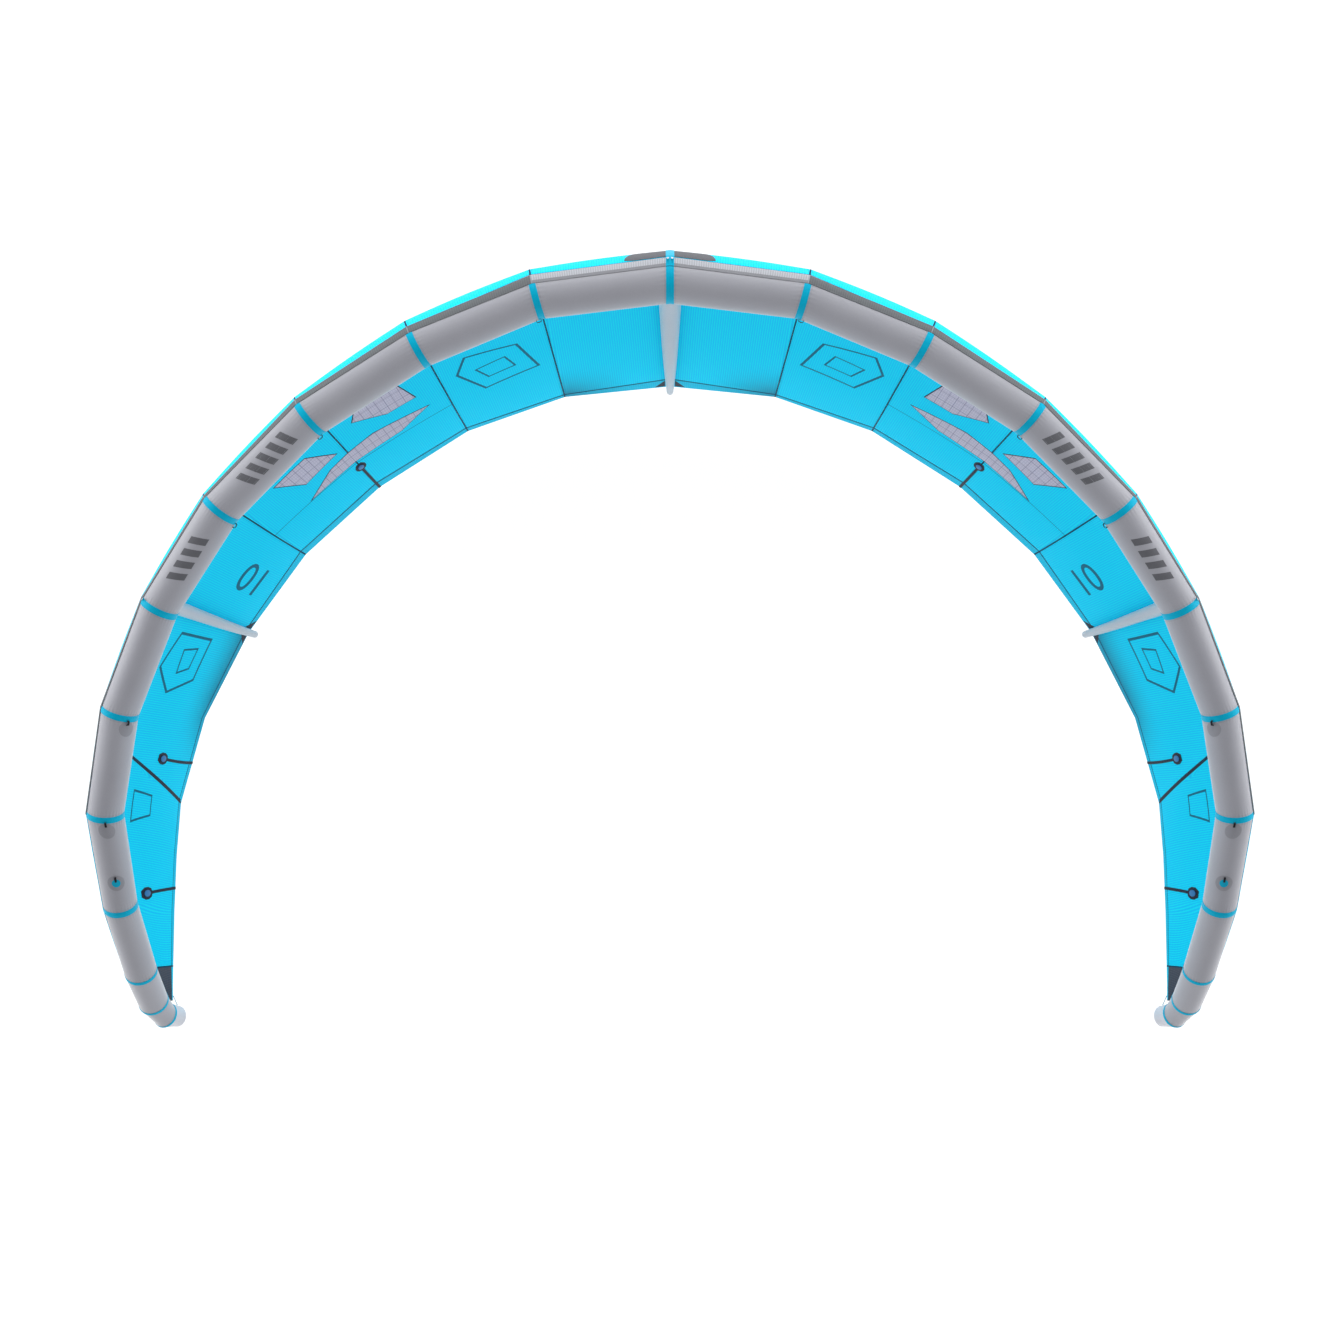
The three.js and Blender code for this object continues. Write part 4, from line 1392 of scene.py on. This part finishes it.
class Finish:
    """A node tree, with one way to add any node."""

    def __init__(self, name, tree=None):
        if tree is None:
            self.material = bpy.data.materials.new(name)
            self.material.use_nodes = True
            tree = self.material.node_tree
        self.tree = tree
        tree.nodes.clear()

    def node(self, kind, settings=(), inputs=(), output=0):
        made = self.tree.nodes.new(kind)
        for key, value in dict(settings).items():
            if key == "stops":
                self.set_stops(made.color_ramp, value)
            else:
                setattr(made, key, value)
        for key, value in inputs.items() if isinstance(inputs, dict) else enumerate(inputs):
            if isinstance(value, Strand):
                self.tree.links.new(value.socket, made.inputs[key])
            else:
                made.inputs[key].default_value = value
        return Strand(self, made.outputs[output]) if made.outputs else None

    def set_stops(self, ramp, stops):
        while len(ramp.elements) < len(stops):
            ramp.elements.new(0.5)
        for element, (position, colour) in zip(ramp.elements, stops):
            element.position = position
            element.color = colour

    def flat(self, name="cloth"):
        """The two flat places of the cloth, from a UV map."""
        place = self.node("ShaderNodeUVMap", {"uv_map": name})
        return [self.node("ShaderNodeSeparateXYZ", {}, [place], output) for output in (0, 1)]

    def mottle(self, scale, detail=4):
        """Noise from 0 to 1 over the object."""
        place = self.node("ShaderNodeTexCoord", {}, (), 3)
        return self.node("ShaderNodeTexNoise", {}, {"Vector": place, "Scale": scale, "Detail": detail})

    def mix(self, share, under, over):
        return self.node("ShaderNodeMix", {"data_type": "RGBA"}, {0: share, 6: under, 7: over}, 2)

    def threads(self, u, v, pitch):
        """The height of a plain weave, 0 between threads and 1 on them."""
        turn = 2 * math.pi / pitch
        return (u * turn).sine() * (v * turn).sine() * 0.5 + 0.5

    def surface(self, colour, roughness, height, depth, **constants):
        """Principled, with a bump in millimetres."""
        bump = self.node("ShaderNodeBump", {}, {"Strength": 1.0, "Distance": depth * MM, "Height": height})
        inputs = {"Base Color": colour, "Roughness": roughness, "Normal": bump, **constants}
        shader = self.node("ShaderNodeBsdfPrincipled", {}, inputs)
        self.node("ShaderNodeOutputMaterial", {}, [shader])
        return self.material


def paint(red, green, blue):
    """A colour as the eye reads it, 0 to 255, in the linear values that a shader takes."""
    parts = [value / 255 for value in (red, green, blue)]
    return (*(p / 12.92 if p <= 0.04045 else ((p + 0.055) / 1.055) ** 2.4 for p in parts), 1.0)


def dress(pieces, material):
    for piece in pieces:
        piece.data.materials.clear()
        piece.data.materials.append(material)
    print(material.name, "on", len(pieces), "pieces")


print("finishes can be mixed")

# %% [markdown]
# ## The tube's cloth
# The tube is heavy woven polyester, silver grey and a little shiny. Along each seam the tight stitches
# draw it into small puckers that die out within a hand's breadth. They are a bump here, from the
# distance to the seam, because at this size modelled ones would cost many faces and show no more.

# %% Silver cloth
def silver_cloth(name, light, dark, puckered, pale_from=9.0):
    finish = Finish(name)
    u, v = finish.flat()
    near, turn = finish.flat("edges")
    mottle = finish.mottle(9.0)
    fine = finish.mottle(160.0, 2)
    draw = (1.0 - near / 0.06).kept()
    pucker = (turn * (2 * math.pi * 34) + mottle * 9).sine() * draw * draw
    weave = finish.threads(u, v, 0.0014)
    height = weave * 0.05 + fine * 0.1 + mottle * 0.5 + (pucker * 0.5 if puckered else 0.0)
    stitch = (abs(near - 0.0165) < 0.0006) * ((turn * 180).fraction() < 0.6)
    tone = finish.mix(mottle * 0.6 + fine * 0.4, dark, light)
    tone = finish.mix((v > pale_from) * 0.9, tone, paint(228, 230, 237))
    tone = finish.mix(stitch * 0.35, tone, paint(110, 114, 122))
    return finish.surface(tone, mottle * 0.1 + 0.4, height, 1.0, **{
        "Sheen Weight": 1.0, "Sheen Roughness": 0.3, "Specular IOR Level": 0.3,
        "Sheen Tint": (1, 1, 1, 1)})


tube_cloth = silver_cloth("tube_cloth", paint(180, 181, 188), paint(168, 169, 177), True)
end_cloth = silver_cloth("end_cloth", paint(182, 183, 190), paint(170, 171, 179), False, 0.18)
strut_cloth = silver_cloth("strut_cloth", paint(200, 202, 209), paint(189, 191, 199), False)
dress(tube, tube_cloth)
dress(tube_ends, end_cloth)

# %% [markdown]
# ## The struts' cloth
# A strut is a lighter cloth, sewn with one long seam. It has no seams across, so its distance to the
# nearest one is laid out as a constant.

# %% Struts
for piece in struts:
    count = len(piece.data.vertices)
    lay_out(piece, "edges", np.full(count, FAR_FROM_SEAM), np.zeros(count))
dress(struts, strut_cloth)

# %% [markdown]
# ## Ripstop cloth of the canopy
# Ripstop polyester has a coarser thread every few millimetres, which shows as fine stripes from
# leading edge to trailing edge. At each rib a dark line of stitches joins two gores, and ahead of the
# trailing edge another one holds the hem. Cloth that is doubled near the hem lets less light through,
# so it looks darker there. Ahead of the hem, in the middle gore and beside the outer struts, a painted
# shade darkens the cloth towards the trailing edge, where the canopy curves. A weak glow of the
# cloth's own colour stands for the light through it.

# %% Canopy cloth
def ripstop(name, light, dark, line, hem, shade, hem_share):
    finish = Finish(name)
    u, v = finish.flat()
    seam, ahead = finish.flat("edges")
    span, column = finish.flat("place")
    mottle = finish.mottle(6.0)
    stripe = (u * (2 * math.pi / 0.0084)).sine() * 0.5 + 0.5
    cross = (v * (2 * math.pi / 0.011)).sine() * 0.5 + 0.5
    tone = finish.mix(stripe * 0.75 + cross * 0.25, light, dark)
    # Painted shade: in the spans that SHADED_SPANS picks, the cloth turns to the shade colour over the
    # last fifth of the columns before the trailing edge.
    where = finish.node("ShaderNodeValToRGB", {"stops": SHADED_SPANS}, [span])
    depth = (1.0 - (1.0 - column) * 5.5).kept()
    tone = finish.mix(where * depth * depth, tone, shade)
    tone = finish.mix((ahead < 0.0) * hem_share, tone, hem)
    tone = finish.mix(seam < 0.003, tone, line)
    tone = finish.mix((abs(ahead) < 1.0) * 0.9, tone, line)
    stitches = (abs(seam - 0.0075) < 0.0005) * ((v * 220).fraction() < 0.6)
    tone = finish.mix(stitches * 0.4, tone, line)
    lap = (abs(v - CROSS_SEAM[2]) < 0.0035) * (span > CROSS_SEAM[0]) * (span < CROSS_SEAM[1])
    tone = finish.mix(lap * 0.55, tone, line)
    fine = finish.threads(u, v, 0.0016)
    pucker = (v * (2 * math.pi / 0.021) + mottle * 8).sine()
    draw = (1.0 - seam / 0.03).kept()
    height = fine * 0.03 + stripe * 0.06 + cross * 0.03 + pucker * draw * draw * 0.25
    height = height + (seam < 0.0085) * 0.3 + (ahead < 1.0) * 0.3
    return finish.surface(tone, mottle * 0.1 + 0.6, height, 1.0, **{
        "Specular IOR Level": 0.04, "Emission Color": tone, "Emission Strength": 0.1})


# Where the painted shade falls, as shares of the half span: the middle gore, strongest near its outer rib,
# and the gore just outboard of the side strut.
SHADED_SPANS = [
    (0.0, (0, 0, 0, 1)), (0.03, (0, 0, 0, 1)), (0.078, (1, 1, 1, 1)), (0.0833, (1, 1, 1, 1)),
    (0.0838, (0, 0, 0, 1)), (0.4166, (0, 0, 0, 1)), (0.418, (1, 1, 1, 1)), (0.48, (1, 1, 1, 1)),
    (0.55, (0, 0, 0, 1)),
]
CROSS_SEAM = (2 / 12, 4 / 12, 0.44)
canopy_cloth = ripstop(
    "canopy_cloth", paint(18, 228, 255), paint(4, 194, 240), paint(8, 66, 92),
    paint(40, 176, 208), paint(28, 112, 140), 0.55)
tip_cloth = ripstop(
    "tip_cloth", paint(84, 90, 100), paint(70, 76, 88), paint(44, 74, 92),
    paint(30, 205, 238), paint(60, 70, 84), 0.95)
dress(gores[:-2], canopy_cloth)
dress(gores[-2:], tip_cloth)

# %% [markdown]
# ## Cover strip, tapes and webbing
# The strip is ribbed across and changes from light to dark at the first seam. The tapes are cyan
# polyester with two rows of stitches. Webbing is coarse and black.

# %% Strip, tape, webbing and cord
def strip_finish():
    finish = Finish("strip_cloth")
    u, v = finish.flat()
    seam, up = finish.flat("place")
    rib = (u * (2 * math.pi / 0.0075)).sine() * 0.5 + 0.5
    light = finish.mix(rib, paint(186, 189, 196), paint(160, 163, 170))
    light = finish.mix(up < 0.3, light, paint(132, 134, 140))
    dark = finish.mix(rib, paint(100, 105, 108), paint(88, 93, 97))
    tone = finish.mix(seam > 1.0, light, dark)
    joint = (seam - 0.5).fraction() - 0.5
    tone = finish.mix((abs(joint) < 0.004) * 0.7, tone, paint(150, 156, 164))
    return finish.surface(tone, 0.55, rib * 0.25 + finish.threads(u, v, 0.0015) * 0.05, 1.0)


def woven(name, light, dark, pitch, roughness, width=None):
    """Plain woven cloth. With a width, two rows of stitches run along it."""
    finish = Finish(name)
    u, v = finish.flat()
    weave = finish.threads(u, v, pitch)
    tone = finish.mix(weave * 0.6 + finish.mottle(30.0) * 0.4, dark, light)
    height = weave * 0.12
    if width:
        edge = abs(v - width / 2)
        row = (abs(edge - (width / 2 - 0.0028)) < 0.0004) * ((u * 250).fraction() < 0.6)
        tone = finish.mix(row * 0.4, tone, dark)
        height = height - row * 0.3
    return finish.surface(tone, roughness, height, 1.0, **{"Specular IOR Level": 0.08})


def scrim():
    """Pale film with a fine grid of threads and a coarse one."""
    finish = Finish("scrim")
    u, v = finish.flat()
    fine_u = (u / 0.009).fraction() < 0.25
    fine_v = (v / 0.022).fraction() < 0.2
    fine = (fine_u + fine_v).kept()
    coarse = (((u / 0.032).fraction() < 0.07) + ((v / 0.075).fraction() < 0.05)).kept()
    tone = finish.mix(finish.mottle(12.0), paint(208, 198, 214), paint(192, 182, 202))
    tone = finish.mix(fine * 0.45, tone, paint(150, 138, 168))
    tone = finish.mix(coarse * 0.75, tone, paint(104, 92, 134))
    return finish.surface(tone, 0.35, fine * 0.1 + coarse * 0.2, 1.0, **{"Specular IOR Level": 0.3})


dress(strips, strip_finish())
dress(tapes, woven("seam_tape", paint(8, 194, 230), paint(4, 176, 214), 0.0018, 0.45, 0.023))
dress(loops, woven("black_webbing", paint(52, 54, 58), paint(26, 27, 30), 0.0022, 0.6))
dress(battens, woven("batten_cloth", paint(22, 44, 66), paint(12, 26, 44), 0.0016, 0.5))
dress(plates, woven("batten_plate", paint(52, 132, 190), paint(34, 108, 168), 0.003, 0.3))
dress(cords, woven("pale_cord", paint(160, 202, 214), paint(128, 172, 186), 0.0012, 0.5))
dress(films, scrim())
dress(edgings + seam_strips, woven("dark_tape", paint(18, 40, 62), paint(10, 28, 46), 0.002, 0.5))
dress(prints, woven("print_ink", paint(6, 116, 144), paint(2, 102, 130), 0.003, 0.6))
dress(patches, woven("patch_cloth", paint(164, 165, 172), paint(150, 151, 158), 0.003, 0.5))
dress(cyan_patches, woven("cyan_patch", paint(24, 190, 226), paint(16, 170, 206), 0.003, 0.45))
dress(bars, woven("bar_ink", paint(122, 123, 128), paint(96, 97, 102), 0.0035, 0.5))
dress([crown], woven("crown_cloth", paint(98, 100, 106), paint(78, 80, 86), 0.0016, 0.5))

# %% [markdown]
# ## Floor and sky
# The floor is matt and almost white. The sky takes its brightness from where a ray looks to: bright
# near the ground and behind the kite, dimmer overhead and ahead.

# %% Floor and sky
finish = Finish("floor")
tone = finish.mix(finish.mottle(3.0), paint(140, 140, 141), paint(136, 136, 138))
finish.surface(tone, 0.9, finish.mottle(40.0), 0.1, **{
    "Specular IOR Level": 0.1, "Emission Color": (1, 1, 1, 1), "Emission Strength": 0.97})
dress([floor], finish.material)

world = bpy.data.worlds.new("sky")
world.use_nodes = True
bpy.context.scene.world = world
sky = Finish("sky", world.node_tree)
direction = sky.node("ShaderNodeTexCoord", {}, (), 0)
aft, rise = (sky.node("ShaderNodeSeparateXYZ", {}, [direction], output) for output in (1, 2))
bright = sky.node("ShaderNodeValToRGB", {"stops": [
    (0.0, (1.0, 1.0, 1.0, 1)), (0.12, (0.85, 0.85, 0.86, 1)), (0.5, (0.3, 0.3, 0.31, 1)),
    (1.0, (0.12, 0.12, 0.13, 1))]}, [rise])
dim = sky.node("ShaderNodeValToRGB", {"stops": [
    (0.0, (0.6, 0.6, 0.61, 1)), (0.5, (0.22, 0.22, 0.23, 1)), (1.0, (0.12, 0.12, 0.13, 1))]}, [rise])
shine = sky.mix((aft * 0.7 + 0.5).kept(), dim, bright)
light = sky.node("ShaderNodeBackground", {}, [shine, 1.3])
sky.node("ShaderNodeOutputWorld", {}, [light])
print("floor and sky are set")
